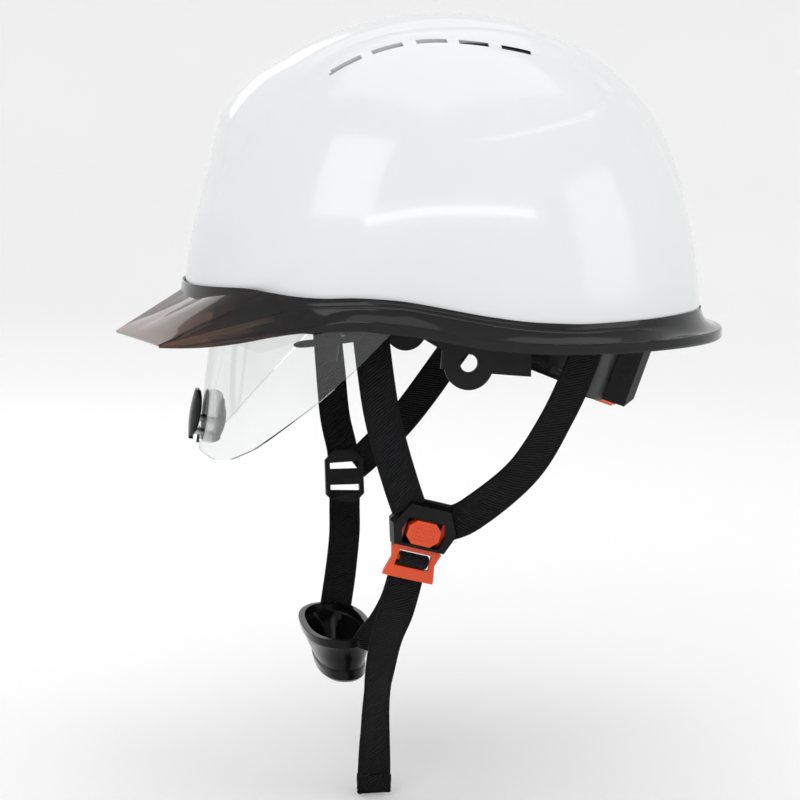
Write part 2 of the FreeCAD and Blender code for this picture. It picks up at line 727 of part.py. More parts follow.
def make_buckle():
    """Six-sided buckle in two shells, with a well for the tongue's prongs and the button between them."""
    base = new_body("buckle_base")
    outline = new_sketch(base)
    draw_polygon(outline, buckle_outline())
    pad(base, outline, "buckle_base_depth")
    doc.recompute()
    well = new_sketch(base, offset=1.2)
    draw_box(well, "well_width", "well_height", (0.0, -5.0))
    pocket(base, well, 5.0, reverse=True)
    base.Placement = buckle_frame(lift=-size("buckle_base_depth"))
    keep(base, "buckle_base")

    drop = size("button_drop")
    cover = new_body("buckle_cover")
    outline = new_sketch(cover)
    draw_polygon(outline, buckle_outline())
    edge = pad(cover, outline, "buckle_cover_depth")
    edge.TaperAngle = -18.0
    doc.recompute()
    window = new_sketch(cover)
    draw_polygon(window, [(-10.3, -drop), (-8.6, -drop - 6.2), (8.6, -drop - 6.2),
                          (10.3, -drop), (8.6, 6.2 - drop), (-8.6, 6.2 - drop)])
    pocket(cover, window, 6.0, reverse=True)
    doc.recompute()
    cover.Placement = buckle_frame(lift=0.05)
    keep(cover, "buckle_cover")

    button = new_body("buckle_button")
    outline = new_sketch(button)
    draw_polygon(outline, octagon(size("button_width"), size("button_height"), 3.2))
    pad(button, outline, "button_depth")
    doc.recompute()
    dot = new_sketch(button, offset=size("button_depth"))
    draw_circle(dot, "pin_radius", (-4.8, -3.6), radius=0.42)
    stud = button.newObject("PartDesign::Pad", "button_dot")
    stud.Profile = dot
    stud.Length = 0.3
    doc.recompute()
    grid = button.newObject("PartDesign::MultiTransform", "button_dots")
    row = button.newObject("PartDesign::LinearPattern", "button_row")
    row.Direction = (dot, ["H_Axis"])
    row.Length = 9.6
    row.Occurrences = 7
    column = button.newObject("PartDesign::LinearPattern", "button_column")
    column.Direction = (dot, ["V_Axis"])
    column.Length = 7.2
    column.Occurrences = 5
    grid.Originals = [stud]
    grid.Transformations = [row, column]
    button.Tip = grid
    button.Placement = buckle_frame(lift=0.2, up=-drop)
    keep(button, "buckle_button")


def make_tongue():
    """Orange tongue: two prongs beside the button, a waisted frame and a bar for the webbing."""
    body = new_body("buckle_tongue")
    outline = new_sketch(body)
    right = [(8.2, 4.5), (10.4, 4.5), (10.4, -11.7), (11.8, -12.5), (10.2, -18.1),
             (11.8, -25.3), (11.9, -27.1)]
    left = [(-x, y) for x, y in reversed(right)]
    draw_polygon(outline, [(8.2, -9.6)] + right + left + [(-8.2, -9.6)])
    pad(body, outline, "tongue_depth")
    doc.recompute()
    window = new_sketch(body)
    draw_polygon(window, [(-7.4, -13.7), (-8.1, -21.5), (8.1, -21.5), (7.4, -13.7)])
    pocket(body, window, 8.0, reverse=True)
    doc.recompute()
    bar = new_sketch(body, offset=0.6)
    draw_polygon(bar, [(-8.7, -16.4), (8.7, -16.4), (8.7, -18.6), (-8.7, -18.6)])
    rod = body.newObject("PartDesign::Pad", "tongue_bar")
    rod.Profile = bar
    rod.Length = 1.4
    body.Tip = rod
    body.Placement = buckle_frame(lift=-2.35)
    return keep(body, "buckle_tongue")


def make_spring():
    """The coil under the button, as a plain sleeve that the button squeezes."""
    tube = Part.makeCylinder(size("spring_radius"), size("spring_rise"))
    core = Part.makeCylinder(size("spring_radius") - size("spring_wire"), size("spring_rise"))
    return tube.cut(core)


# ---------------------------------------------------------------- shield
LENS_AXIS = Vec(math.sin(math.radians(size("lens_lean"))), 0, math.cos(math.radians(size("lens_lean"))))


def lens_prism(inset, low=-75.0, high=55.0):
    """Oval column that leans back with the shield."""
    front, half = size("lens_front") - inset, size("lens_half_width") - inset
    start = LENS_AXIS * (low / LENS_AXIS.z)
    wire = oval_wire(front, front, half)
    wire.translate(start)
    return Part.Face(wire).extrude(LENS_AXIS * ((high - low) / LENS_AXIS.z))


def make_lens():
    """Clear shield: two cheek lobes, a nose notch and swept-up ends."""
    wall = lens_prism(0.0).cut(lens_prism(size("lens_wall")))
    outline = [(-125, 37), (-104, 37), (-84, 30), (-60, 22), (-34, 19), (-33, 14), (-38, 10),
               (-52, -5), (-69, -21), (-82, -32), (-96, -44), (-106, -50.5), (-112, -52.5), (-125, -49.5)]
    sheet_solid = wall.common(corner_prism(outline, -120, 120))
    notch = Part.makeCylinder(8.0, 40, Vec(-135, 0, -50), Vec(1, 0, 0))
    lens = sheet_solid.cut(notch)
    lens = lens.cut(pin_holes())
    return max(lens.Solids, key=lambda solid: solid.Volume)


def grip_frame(out=0.0, up=0.0):
    """Frame on the front of the shield: Z forward out of the lens, Y up along the slide."""
    place = Vec(-size("lens_front"), 0, 0) + LENS_AXIS * (-37.0 + up)
    across = Vec(0, -1, 0)
    forward = across.cross(LENS_AXIS)
    turn = FreeCAD.Rotation(across, LENS_AXIS, forward, "ZXY")
    return FreeCAD.Placement(place + forward * out, turn)


PIN_PLACES = (-1.5, -8.0)        # the two pins' heights on the grip


def pin_holes():
    """Cutters for the pins, in the place where the grip sits on the shield."""
    cutters = []
    for height in PIN_PLACES:
        hole = Part.makeCylinder(size("pin_radius") + 0.05, 30, Vec(0, height, -15), Vec(0, 0, 1))
        hole.Placement = grip_frame()
        cutters.append(hole)
    return Part.makeCompound(cutters)


def make_pins():
    pins = []
    for height in PIN_PLACES:
        stem = Part.makeCylinder(size("pin_radius"), size("pin_length"), Vec(0, height, -6.4), Vec(0, 0, 1))
        foot = Vec(0, height, size("pin_length") - 6.4)
        head = Part.makeCylinder(size("pin_radius") * 1.6, 0.9, foot, Vec(0, 0, 1))
        pins.append(stem.fuse(head).removeSplitter())
    return Part.makeCompound(pins)


def make_grip():
    body = new_body("nose_grip")
    outline = new_sketch(body)
    wide, tall = size("grip_width") / 2, size("grip_height") / 2
    draw_polygon(outline, [(-wide * 0.55, tall), (wide * 0.55, tall), (wide, tall * 0.35),
                           (wide * 0.8, -tall * 0.6),
                           (wide * 0.35, -tall), (-wide * 0.35, -tall), (-wide * 0.8, -tall * 0.6),
                           (-wide, tall * 0.35)])
    for height in PIN_PLACES:
        draw_circle(outline, "pin_radius", (0.0, height), radius=size("pin_radius") + 0.05)
    pad(body, outline, "grip_depth")
    body.Placement = grip_frame(out=0.9)
    return keep(body, "nose_grip")


def make_nose_pad():
    """Saddle behind the shield that stands off the wearer's nose."""
    block = Part.makeBox(22, 24, 7.2, Vec(-11, -12, -9.6))
    valley = Part.makeCylinder(9.0, 60, Vec(0, -30, -13.2), Vec(0, 1, 0))
    saddle = block.cut(valley)
    lens = lens_prism(size("lens_wall") + 0.3)
    saddle.Placement = grip_frame()
    return saddle.common(lens).cut(pin_holes())


def rail_frame(side, out=0.0, up=0.0, along=0.0):
    """Frame on the inner face of the shield at the temple."""
    power = 2.3
    front, half = size("lens_front") - size("lens_wall"), size("lens_half_width") - size("lens_wall")
    x = -64.0
    y = half * (1 - (abs(x) / front) ** power) ** (1 / power)
    slope = Vec((abs(x) / front) ** (power - 1) / front * -1, (y / half) ** (power - 1) / half, 0)
    outward = Vec(slope.x, side * slope.y, 0)
    outward = (outward - LENS_AXIS * outward.dot(LENS_AXIS)).normalize()
    across = LENS_AXIS.cross(outward)
    turn = FreeCAD.Rotation(across, LENS_AXIS, outward, "ZXY")
    place = Vec(x, side * y, 0) + LENS_AXIS * up + outward * out + across * along
    return FreeCAD.Placement(place, turn)


SLIDER_GAP = 1.1                 # the straight bar sits this far inside the curved shield


def make_slider(side, label):
    """Bar on the shield's inner face, notched to run on its rail."""
    body = new_body(label)
    outline = new_sketch(body)
    draw_box(outline, "slider_length", "slider_height", (-side * 2.0, 0.0))
    pad(body, outline, "slider_depth")
    doc.recompute()
    slot = new_sketch(body, offset=0.0)
    half = size("rail_width") / 2 + 0.3
    tall = size("slider_height")
    draw_polygon(slot, [(-half, -tall), (half, -tall), (half, tall), (-half, tall)])
    pocket(body, slot, size("rail_depth") + 0.3, reverse=True)
    body.Placement = rail_frame(side, out=-size("slider_depth") - SLIDER_GAP, up=6.0)
    return keep(body, label)


def make_rail(side, label):
    body = new_body(label)
    outline = new_sketch(body)
    draw_box(outline, "rail_width", "rail_length", (0.0, 0.0))
    pad(body, outline, "rail_depth")
    body.Placement = rail_frame(side, out=-size("slider_depth") - SLIDER_GAP - 0.15, up=30.0)
    return keep(body, label)


# ---------------------------------------------------------------- straps
CHEEK = Vec(0, -1, 0)


def ribbon(points, tilt_start=CHEEK, tilt_end=CHEEK):
    """Webbing along a smooth curve through a few points."""
    curve = arc_through([Vec(*p) for p in points])
    count = 4 * (len(points) - 1)
    path, normals = [], []
    for step in range(count + 1):
        part = step / count
        knot = curve.FirstParameter + part * (curve.LastParameter - curve.FirstParameter)
        path.append(curve.value(knot))
        normals.append((tilt_start * (1 - part) + tilt_end * part).normalize())
    return band_solid(path, normals, size("web_width"), size("web_wall"))


LEFT_FRONT = [(-45.5, -73.6, 19), (-44.8, -75.2, 4), (-41, -77.6, -24), (-32.5, -76.8, -43),
              (-22, -75.2, -60.4)]
LEFT_REAR = [(54.8, -80.6, 11.4), (50, -81.4, -4), (39, -79, -30), (24, -75.8, -57), (1.6, -71.8, -78.6)]
RIGHT_FRONT = [(-46, 73.6, 19), (-45.2, 75.2, 4), (-42.5, 78, -24), (-40.3, 76, -50), (-37.4, 71.4, -66.2)]
RIGHT_REAR = [(44, 83.6, 10.2), (36, 83.4, -2), (22, 80.4, -20), (-2, 75.4, -50), (-22.5, 72.2, -69.6)]
RIGHT_LOWER = [(-37.2, 63.4, -96.4), (-38.4, 56, -109), (-40, 46.4, -124), (-41.5, 38.2, -139.4)]
LEFT_LOWER = [(-27.2, -62.9, -107.4), (-30.8, -55.6, -120), (-33.4, -46.5, -131), (-35.5, -38.2, -140)]
TAIL = [(-27.6, -67.1, -107.6), (-31.4, -60.6, -121), (-35.4, -51.6, -140), (-38.2, -46.4, -165),
        (-39.0, -45.2, -185), (-39.4, -45, -203.4)]


def make_tail_hem():
    """The free end, folded twice and sewn."""
    path = [Vec(-39.4, -45, -203.8), Vec(-39.5, -45, -213)]
    return band_solid(path, [CHEEK, CHEEK], size("web_width"), 3.6 * size("web_wall"))


def make_adjuster():
    """Bar adjuster where the right-hand straps meet."""
    body = new_body("right_adjuster")
    outline = new_sketch(body)
    draw_polygon(outline, octagon(20.0, 28.0, 5.0))
    pad(body, outline, "buckle_base_depth")
    doc.recompute()
    for height in (6.0, -6.0):
        slot = new_sketch(body)
        low, high = height - 1.8, height + 1.8
        draw_polygon(slot, [(-7.6, low), (7.6, low), (7.6, high), (-7.6, high)])
        pocket(body, slot, 8.0, reverse=True)
        doc.recompute()
    up = Vec(0, 0.2, 1).normalize()
    out = Vec(0, 1, -0.2).normalize()
    turn = FreeCAD.Rotation(up.cross(out), up, out, "ZXY")
    body.Placement = FreeCAD.Placement(Vec(-36.6, 66.2, -81.0), turn)
    return keep(body, "right_adjuster")


def make_cup():
    """Bowl under the chin, from two ellipsoids bound to the sheet."""
    bowls = []
    for name, inset in (("cup_outside", 0), ("cup_inside", 1)):
        bowl = doc.addObject("Part::Ellipsoid", name)
        bind(bowl, Radius1="@cup_depth - %d * @cup_wall" % inset,
             Radius2="@cup_length - %d * @cup_wall" % inset,
             Radius3="@cup_half_width - %d * @cup_wall" % inset)
        bowl.Angle1, bowl.Angle2, bowl.Angle3 = -90, 90, 360
        bowls.append(bowl)
    hollow = doc.addObject("Part::Cut", "cup_hollow")
    hollow.Base, hollow.Tool = bowls
    half = doc.addObject("Part::Box", "cup_half")
    half.Length, half.Width, half.Height = 60, 100, 40
    half.Placement.Base = Vec(-30, -50, -40)
    cup = doc.addObject("Part::Common", "chin_cup")
    cup.Base, cup.Tool = hollow, half
    cup.Placement = FreeCAD.Placement(Vec(-51.5, 0, -140.2), FreeCAD.Rotation(Vec(0, 1, 0), 6))
    return keep(cup, "chin_cup")


# ---------------------------------------------------------------- build everything
def build_head_gear():
    feature("shell", make_shell())
    feature("brim", make_brim())
    feature("rim_carrier", make_carrier())
    feature("impact_liner", make_liner())
    feature("cradle_ring", make_cradle())
    feature("headband", make_headband())
    feature("sweatband", make_sweatband())
    feature("crown_strap_front", make_crown_strap(CROWN_PLACES[0], 112.0))
    feature("crown_strap_middle", make_crown_strap(CROWN_PLACES[1], 118.0))
    feature("crown_strap_rear", make_crown_strap(CROWN_PLACES[2], 112.0))
    feature("crown_hooks", make_crown_hooks())
    feature("cradle_brackets", make_brackets())
    feature("headband_hangers", make_hangers())
    feature("strap_anchors", make_anchors())
    feature("rim_screws", make_rim_screws())


def build_nape():
    frame = nape_frame()
    feature("nape_plate", make_nape_plate(), frame)
    feature("rack_left", make_rack(-1), frame)
    feature("rack_right", make_rack(1), frame)
    reach = size("rack_radius") - size("rack_wall") - 0.3
    cover = make_nape_sector(reach, size("rack_cover_wall"), -12, 12, 45)
    feature("rack_cover", cover, frame)
    inner = size("rack_radius") - size("rack_wall") - size("rack_cover_wall") - 0.7
    feature("nape_pad", make_nape_sector(inner, size("nape_pad_wall"), -15, 15, 50), frame)
    feature("ratchet_cover", make_hood(), frame)
    feature("click_spring", make_click_spring(), frame)
    make_knob()
    make_pinion()


def build_shield():
    feature("face_shield", make_lens())
    make_grip()
    feature("nose_pad", make_nose_pad())
    make_slider(-1, "shield_slider_left")
    make_slider(1, "shield_slider_right")
    make_rail(-1, "shield_rail_left")
    make_rail(1, "shield_rail_right")
    feature("nose_pins", make_pins(), grip_frame())


def build_straps():
    feature("left_front_strap", ribbon(LEFT_FRONT, tilt_start=Vec(-0.33, -0.94, 0)))
    feature("left_rear_strap", ribbon(LEFT_REAR, tilt_start=Vec(0.26, -0.96, 0)))
    feature("right_front_strap", ribbon(RIGHT_FRONT, tilt_start=Vec(0.33, -0.94, 0)))
    feature("right_rear_strap", ribbon(RIGHT_REAR, tilt_start=Vec(-0.2, -0.98, 0)))
    feature("right_lower_strap", ribbon(RIGHT_LOWER))
    feature("left_lower_strap", ribbon(LEFT_LOWER))
    feature("strap_tail", ribbon(TAIL))
    feature("tail_hem", make_tail_hem())
    make_buckle()
    make_tongue()
    feature("button_spring", make_spring(), buckle_frame(lift=-1.95, up=-size("button_drop")))
    make_adjuster()
    make_cup()


def check_and_write():
    doc.recompute()
    for thing in doc.Objects:
        bad = [s for s in thing.State if s in ("Invalid", "Error")]
        assert not bad, "%s is %s" % (thing.Label, bad)
    os.makedirs("parts", exist_ok=True)
    for thing in PARTS:
        shape = thing.Shape
        assert not shape.isNull() and shape.isValid(), "%s has no valid shape" % thing.Label
        assert shape.Solids, "%s holds no solid" % thing.Label
        shape.exportStep("parts/%s.step" % thing.Label)
        print("%-22s %2d solid(s) %10.1f mm3" % (thing.Label, len(shape.Solids), shape.Volume))


build_head_gear()
build_nape()
build_shield()
build_straps()
check_and_write()
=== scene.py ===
"""Safety helmet with a smoked brim, a retractable clear shield and a chin strap.

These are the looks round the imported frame. Lengths are millimetres in the row frame
(-X front, +Y the wearer's right, +Z up) and become metres in add_piece.
"""
import json
import math

import bmesh
import bpy
import numpy as np
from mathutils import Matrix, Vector


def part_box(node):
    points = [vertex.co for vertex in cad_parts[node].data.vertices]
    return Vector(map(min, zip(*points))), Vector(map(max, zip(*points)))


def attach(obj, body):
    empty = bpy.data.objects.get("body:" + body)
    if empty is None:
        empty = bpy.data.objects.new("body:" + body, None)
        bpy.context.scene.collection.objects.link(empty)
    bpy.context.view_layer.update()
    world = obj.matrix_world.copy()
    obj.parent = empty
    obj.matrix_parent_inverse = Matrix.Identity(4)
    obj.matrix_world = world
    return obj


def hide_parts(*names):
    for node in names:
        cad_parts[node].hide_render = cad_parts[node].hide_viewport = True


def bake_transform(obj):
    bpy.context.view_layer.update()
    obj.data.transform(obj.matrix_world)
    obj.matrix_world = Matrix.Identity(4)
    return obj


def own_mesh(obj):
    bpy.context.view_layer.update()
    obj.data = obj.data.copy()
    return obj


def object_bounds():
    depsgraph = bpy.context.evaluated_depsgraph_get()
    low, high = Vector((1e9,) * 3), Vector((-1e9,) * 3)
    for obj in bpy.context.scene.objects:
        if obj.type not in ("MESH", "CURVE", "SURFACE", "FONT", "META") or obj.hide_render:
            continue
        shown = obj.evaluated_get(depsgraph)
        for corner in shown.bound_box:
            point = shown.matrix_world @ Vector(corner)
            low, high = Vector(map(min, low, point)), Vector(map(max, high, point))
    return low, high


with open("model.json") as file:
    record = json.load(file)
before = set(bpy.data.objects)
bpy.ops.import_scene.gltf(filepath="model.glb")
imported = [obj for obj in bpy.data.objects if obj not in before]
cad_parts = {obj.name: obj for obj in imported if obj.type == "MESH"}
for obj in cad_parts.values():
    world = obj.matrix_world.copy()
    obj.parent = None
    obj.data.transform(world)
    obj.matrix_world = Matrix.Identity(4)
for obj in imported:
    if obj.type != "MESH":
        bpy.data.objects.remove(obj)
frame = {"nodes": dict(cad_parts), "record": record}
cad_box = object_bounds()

MM = 0.001
NODES = frame["nodes"]


# ---------------------------------------------------------------- meshes
def smooth_by_angle(mesh, degrees):
    mesh.shade_smooth()
    mesh.set_sharp_from_angle(angle=math.radians(degrees))


def add_piece(name, points, faces, look, body, nodes=(), sharp=38.0, uv=None):
    """A mesh piece from points in millimetres. uv holds one pair in millimetres for each point."""
    mesh = bpy.data.meshes.new(name)
    mesh.from_pydata([tuple(float(c) * MM for c in p) for p in points], [], faces)
    if uv is not None:
        layer = mesh.uv_layers.new(name="web")
        corners = np.empty(len(mesh.loops), np.int32)
        mesh.loops.foreach_get("vertex_index", corners)
        layer.data.foreach_set("uv", (np.asarray(uv, float)[corners]).astype(np.float32).ravel())
    tidy = bmesh.new()
    tidy.from_mesh(mesh)
    bmesh.ops.remove_doubles(tidy, verts=tidy.verts, dist=2e-6)
    bmesh.ops.dissolve_degenerate(tidy, edges=tidy.edges, dist=1e-7)
    bmesh.ops.recalc_face_normals(tidy, faces=tidy.faces)
    tidy.to_mesh(mesh)
    tidy.free()
    smooth_by_angle(mesh, sharp)
    mesh.materials.append(look)
    piece = bpy.data.objects.new(name, mesh)
    bpy.context.scene.collection.objects.link(piece)
    if body is not None:
        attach(piece, body)
    if nodes:
        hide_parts(*nodes)
    return piece


def grid_faces(rows, columns, start=0, wrap_rows=False, wrap_columns=False):
    faces = []
    for i in range(rows if wrap_rows else rows - 1):
        for j in range(columns if wrap_columns else columns - 1):
            a, b = i, (i + 1) % rows
            c, d = j, (j + 1) % columns
            faces.append((start + a * columns + c, start + a * columns + d,
                          start + b * columns + d, start + b * columns + c))
    return faces


def skin(sections, closed=False):
    """Points and faces of a solid swept through closed sections of equal length."""
    rows, columns = len(sections), len(sections[0])
    points = [tuple(p) for section in sections for p in section]
    faces = grid_faces(rows, columns, wrap_rows=closed, wrap_columns=True)
    if not closed:
        faces.append(tuple(range(columns)))
        faces.append(tuple((rows - 1) * columns + k for k in reversed(range(columns))))
    return points, faces


def apply_modifiers(piece):
    """Bake the modifiers of a piece into its mesh."""
    bpy.context.view_layer.update()
    baked = bpy.data.meshes.new_from_object(piece.evaluated_get(bpy.context.evaluated_depsgraph_get()))
    piece.modifiers.clear()
    piece.data = baked
    return piece


def thicken(piece, wall, group=None, clamp=1.2):
    solid = piece.modifiers.new("wall", "SOLIDIFY")
    solid.thickness = wall * MM
    solid.offset = -1
    solid.use_even_offset = True
    solid.thickness_clamp = clamp
    if group:
        solid.vertex_group = group
    return piece


def soften(piece, width, angle=30, segments=2):
    edge = piece.modifiers.new("edge", "BEVEL")
    edge.width = width * MM
    edge.segments = segments
    edge.limit_method = "ANGLE"
    edge.angle_limit = math.radians(angle)
    edge.harden_normals = True
    return piece


def line(table, x):
    """Value of a line through (x, value) pairs."""
    xs, ys = zip(*table)
    return np.interp(x, xs, ys)


def unit(vector):
    return vector / np.linalg.norm(vector)


def signed_power(value, power):
    return math.copysign(abs(value) ** power, value)


def ease(x, low, high):
    """Smooth step from 0 at low to 1 at high."""
    t = np.clip((np.asarray(x, float) - low) / (high - low), 0, 1)
    return t * t * (3 - 2 * t)


def curve_points(points, step=1.5):
    """Catmull-Rom curve through a few points, at even steps."""
    p = [np.array(q, float) for q in points]
    p = [2 * p[0] - p[1]] + p + [2 * p[-1] - p[-2]]
    dense = []
    for i in range(1, len(p) - 2):
        for t in np.linspace(0, 1, 24, endpoint=False):
            dense.append(0.5 * (2 * p[i] + (p[i + 1] - p[i - 1]) * t
                                + (2 * p[i - 1] - 5 * p[i] + 4 * p[i + 1] - p[i + 2]) * t ** 2
                                + (3 * p[i] - p[i - 1] - 3 * p[i + 1] + p[i + 2]) * t ** 3))
    dense = np.array(dense + [p[-2]])
    run = np.concatenate([[0], np.cumsum(np.linalg.norm(np.diff(dense, axis=0), axis=1))])
    places = np.linspace(0, run[-1], max(3, int(run[-1] / step) + 1))
    return np.column_stack([np.interp(places, run, dense[:, k]) for k in range(3)]), places


# ---------------------------------------------------------------- materials
class Look:
    """Builds one procedural material, a node at a time."""

    def __init__(self, name, colour, rough, **inputs):
        self.material = bpy.data.materials.new(name)
        self.material.use_nodes = True
        self.tree = self.material.node_tree
        self.bsdf = self.tree.nodes["Principled BSDF"]
        self.bsdf.inputs["Base Color"].default_value = (*colour, 1)
        self.bsdf.inputs["Roughness"].default_value = rough
        for key, value in inputs.items():
            self.bsdf.inputs[key.replace("_", " ")].default_value = value
        self.place = self.tree.nodes.new("ShaderNodeTexCoord")
        self.height = None

    def node(self, kind, source=None, **values):
        made = self.tree.nodes.new(kind)
        for key, value in values.items():
            name = key.replace("_", " ")
            if name in made.inputs:
                made.inputs[name].default_value = value
            else:
                setattr(made, key, value)
        if source is not None:
            self.tree.links.new(source, made.inputs[0])
        return made

    def pattern(self, kind, coordinates="Object", **values):
        return self.node(kind, self.place.outputs[coordinates], **values)

    def ramp(self, source, low, high, at=(0.0, 1.0)):
        made = self.node("ShaderNodeValToRGB", source)
        for stop, colour, place in zip(made.color_ramp.elements, (low, high), at):
            stop.color = (*colour, 1) if len(colour) == 3 else colour
            stop.position = place
        return made.outputs["Color"]

    def tint(self, source, low, high, at=(0.3, 0.7)):
        """Colour that wanders between two tones."""
        self.tree.links.new(self.ramp(source, low, high, at), self.bsdf.inputs["Base Color"])
        return self

    def sheen_map(self, source, low, high, at=(0.35, 0.65)):
        """Roughness that wanders between two values."""
        grey = self.ramp(source, (low,) * 3, (high,) * 3, at)
        self.tree.links.new(grey, self.bsdf.inputs["Roughness"])
        return self

    def bump(self, source, strength, distance):
        made = self.tree.nodes.new("ShaderNodeBump")
        made.inputs["Strength"].default_value = strength
        made.inputs["Distance"].default_value = distance
        self.tree.links.new(source, made.inputs["Height"])
        if self.height is not None:
            self.tree.links.new(self.height, made.inputs["Normal"])
        self.height = made.outputs["Normal"]
        self.tree.links.new(self.height, self.bsdf.inputs["Normal"])
        return self


def noise(look, scale, detail=3.0, rough=0.5, coordinates="Object"):
    return look.pattern("ShaderNodeTexNoise", coordinates, Scale=scale, Detail=detail,
                        Roughness=rough).outputs["Fac"]


def plastic(name, low, high, rough, grain, grain_depth, **inputs):
    """Moulded plastic: two close tones, a wandering gloss and a fine grain."""
    look = Look(name, low, rough[0], **inputs)
    look.tint(noise(look, 22, 4), low, high)
    look.sheen_map(noise(look, 55, 5, 0.65), rough[0], rough[1])
    look.bump(noise(look, grain, 4, 0.6), 0.35, grain_depth)
    return look.material


def clear(name, colour, rough, ior=1.49):
    """Clear moulded plastic with faint swirl and hairline wear."""
    look = Look(name, colour, rough, Transmission_Weight=1.0, IOR=ior)
    deep = tuple(c * 0.9 for c in colour)
    look.tint(noise(look, 14, 2), deep, colour)
    look.sheen_map(noise(look, 90, 6, 0.7), rough * 0.6, rough * 1.7)
    return look.material


def smoke_look():
    """Smoked polycarbonate: brown and see-through at the peak, near black over the sides where the black
    carrier lines the rim; that near black is painted shade.
    """
    look = Look("smoke_polycarbonate", (0.3, 0.22, 0.17), 0.05, Transmission_Weight=1.0, IOR=1.42,
                Specular_IOR_Level=0.25)
    along = look.node("ShaderNodeSeparateXYZ", look.place.outputs["Object"]).outputs["X"]
    wander = look.node("ShaderNodeMath", along, operation="MULTIPLY_ADD")
    wander.inputs[1].default_value = 4.0
    wander.inputs[2].default_value = 0.6
    shade = look.node("ShaderNodeValToRGB", wander.outputs["Value"])
    # painted shade: the near-black stops stand for the black carrier behind the brim; the brown peak and the
    # greyer rear are the smoke's own tint
    stops = [(0.0, (0.1, 0.05, 0.03)), (0.15, (0.08, 0.042, 0.027)), (0.29, (0.004, 0.0036, 0.0036)),
             (0.9, (0.004, 0.004, 0.004)), (1.0, (0.05, 0.058, 0.056))]
    shade.color_ramp.elements.remove(shade.color_ramp.elements[0])
    for place, colour in stops:
        stop = shade.color_ramp.elements.new(place) if place < 1.0 else shade.color_ramp.elements[-1]
        stop.color = (*colour, 1)
    swirl = look.node("ShaderNodeMix", data_type="RGBA", blend_type="MULTIPLY")
    swirl.inputs["Factor"].default_value = 0.25
    look.tree.links.new(shade.outputs["Color"], swirl.inputs["A"])
    look.tree.links.new(look.ramp(noise(look, 14, 2), (0.75,) * 3, (1.0,) * 3), swirl.inputs["B"])
    look.tree.links.new(swirl.outputs["Result"], look.bsdf.inputs["Base Color"])
    look.sheen_map(noise(look, 90, 6, 0.7), 0.03, 0.08)
    return look.material


def webbing_look():
    """Black twill: slanted ribs over a fine thread grain, painted lighter on the crests as a highlight and
    darker in the grooves as shade.
    """
    look = Look("black_twill", (0.012, 0.012, 0.014), 0.72, Specular_IOR_Level=0.12, Sheen_Weight=0.02)
    twist = look.pattern("ShaderNodeMapping", "UV")
    twist.inputs["Rotation"].default_value = (0, 0, math.radians(38))
    ribs = look.node("ShaderNodeTexWave", twist.outputs["Vector"], Scale=0.36, Distortion=0.5, Detail=1.0,
                     wave_type="BANDS", bands_direction="X")
    threads = look.pattern("ShaderNodeTexWave", "UV", Scale=0.62, Distortion=0.4, Detail=0.0,
                           wave_type="BANDS", bands_direction="X")
    # painted highlight on the rib crests and painted shade in the grooves: the colour follows the ribs' relief
    look.tint(ribs.outputs["Fac"], (0.002, 0.002, 0.0023), (0.012, 0.012, 0.0135), (0.25, 0.95))
    look.bump(ribs.outputs["Fac"], 0.9, 0.00035)
    look.bump(threads.outputs["Fac"], 0.5, 0.00012)
    look.bump(noise(look, 1400, 2), 0.3, 0.00008)
    return look.material


def cloth_look():
    """Knitted pad cloth: small cells over a soft pile."""
    look = Look("pad_knit", (0.03, 0.03, 0.034), 0.9, Specular_IOR_Level=0.1, Sheen_Weight=0.04)
    cells = look.pattern("ShaderNodeTexVoronoi", Scale=620.0, Randomness=0.35)
    look.tint(noise(look, 40, 4), (0.006, 0.006, 0.007), (0.014, 0.014, 0.016))
    look.bump(cells.outputs["Distance"], 0.5, 0.0003)
    look.bump(noise(look, 1600, 2), 0.3, 0.0001)
    return look.material


def foam_look():
    """Expanded polystyrene: pressed beads with dark lines between them."""
    look = Look("eps_foam", (0.07, 0.07, 0.075), 0.6)
    beads = look.pattern("ShaderNodeTexVoronoi", Scale=230.0, feature="DISTANCE_TO_EDGE")
    look.tint(beads.outputs["Distance"], (0.03, 0.03, 0.033), (0.1, 0.1, 0.108), (0.0, 0.12))
    look.bump(beads.outputs["Distance"], 0.6, 0.0006)
    look.bump(noise(look, 300, 3), 0.25, 0.0003)
    return look.material


def white_look():
    look = Look("white_abs", (0.86, 0.875, 0.885), 0.13, Coat_Weight=0.35, Coat_Roughness=0.04, IOR=1.53)
    look.tint(noise(look, 9, 3), (0.74, 0.757, 0.768), (0.78, 0.79, 0.796))
    look.sheen_map(noise(look, 60, 6, 0.7), 0.1, 0.19)
    look.bump(noise(look, 120, 2), 0.05, 0.0004)
    return look.material


def steel_look():
    look = Look("zinc_steel", (0.5, 0.5, 0.51), 0.32, Metallic=1.0)
    look.tint(noise(look, 300, 4), (0.42, 0.42, 0.43), (0.6, 0.6, 0.6))
    look.sheen_map(noise(look, 800, 4), 0.25, 0.42)
    look.bump(noise(look, 900, 2), 0.2, 0.0001)
    return look.material


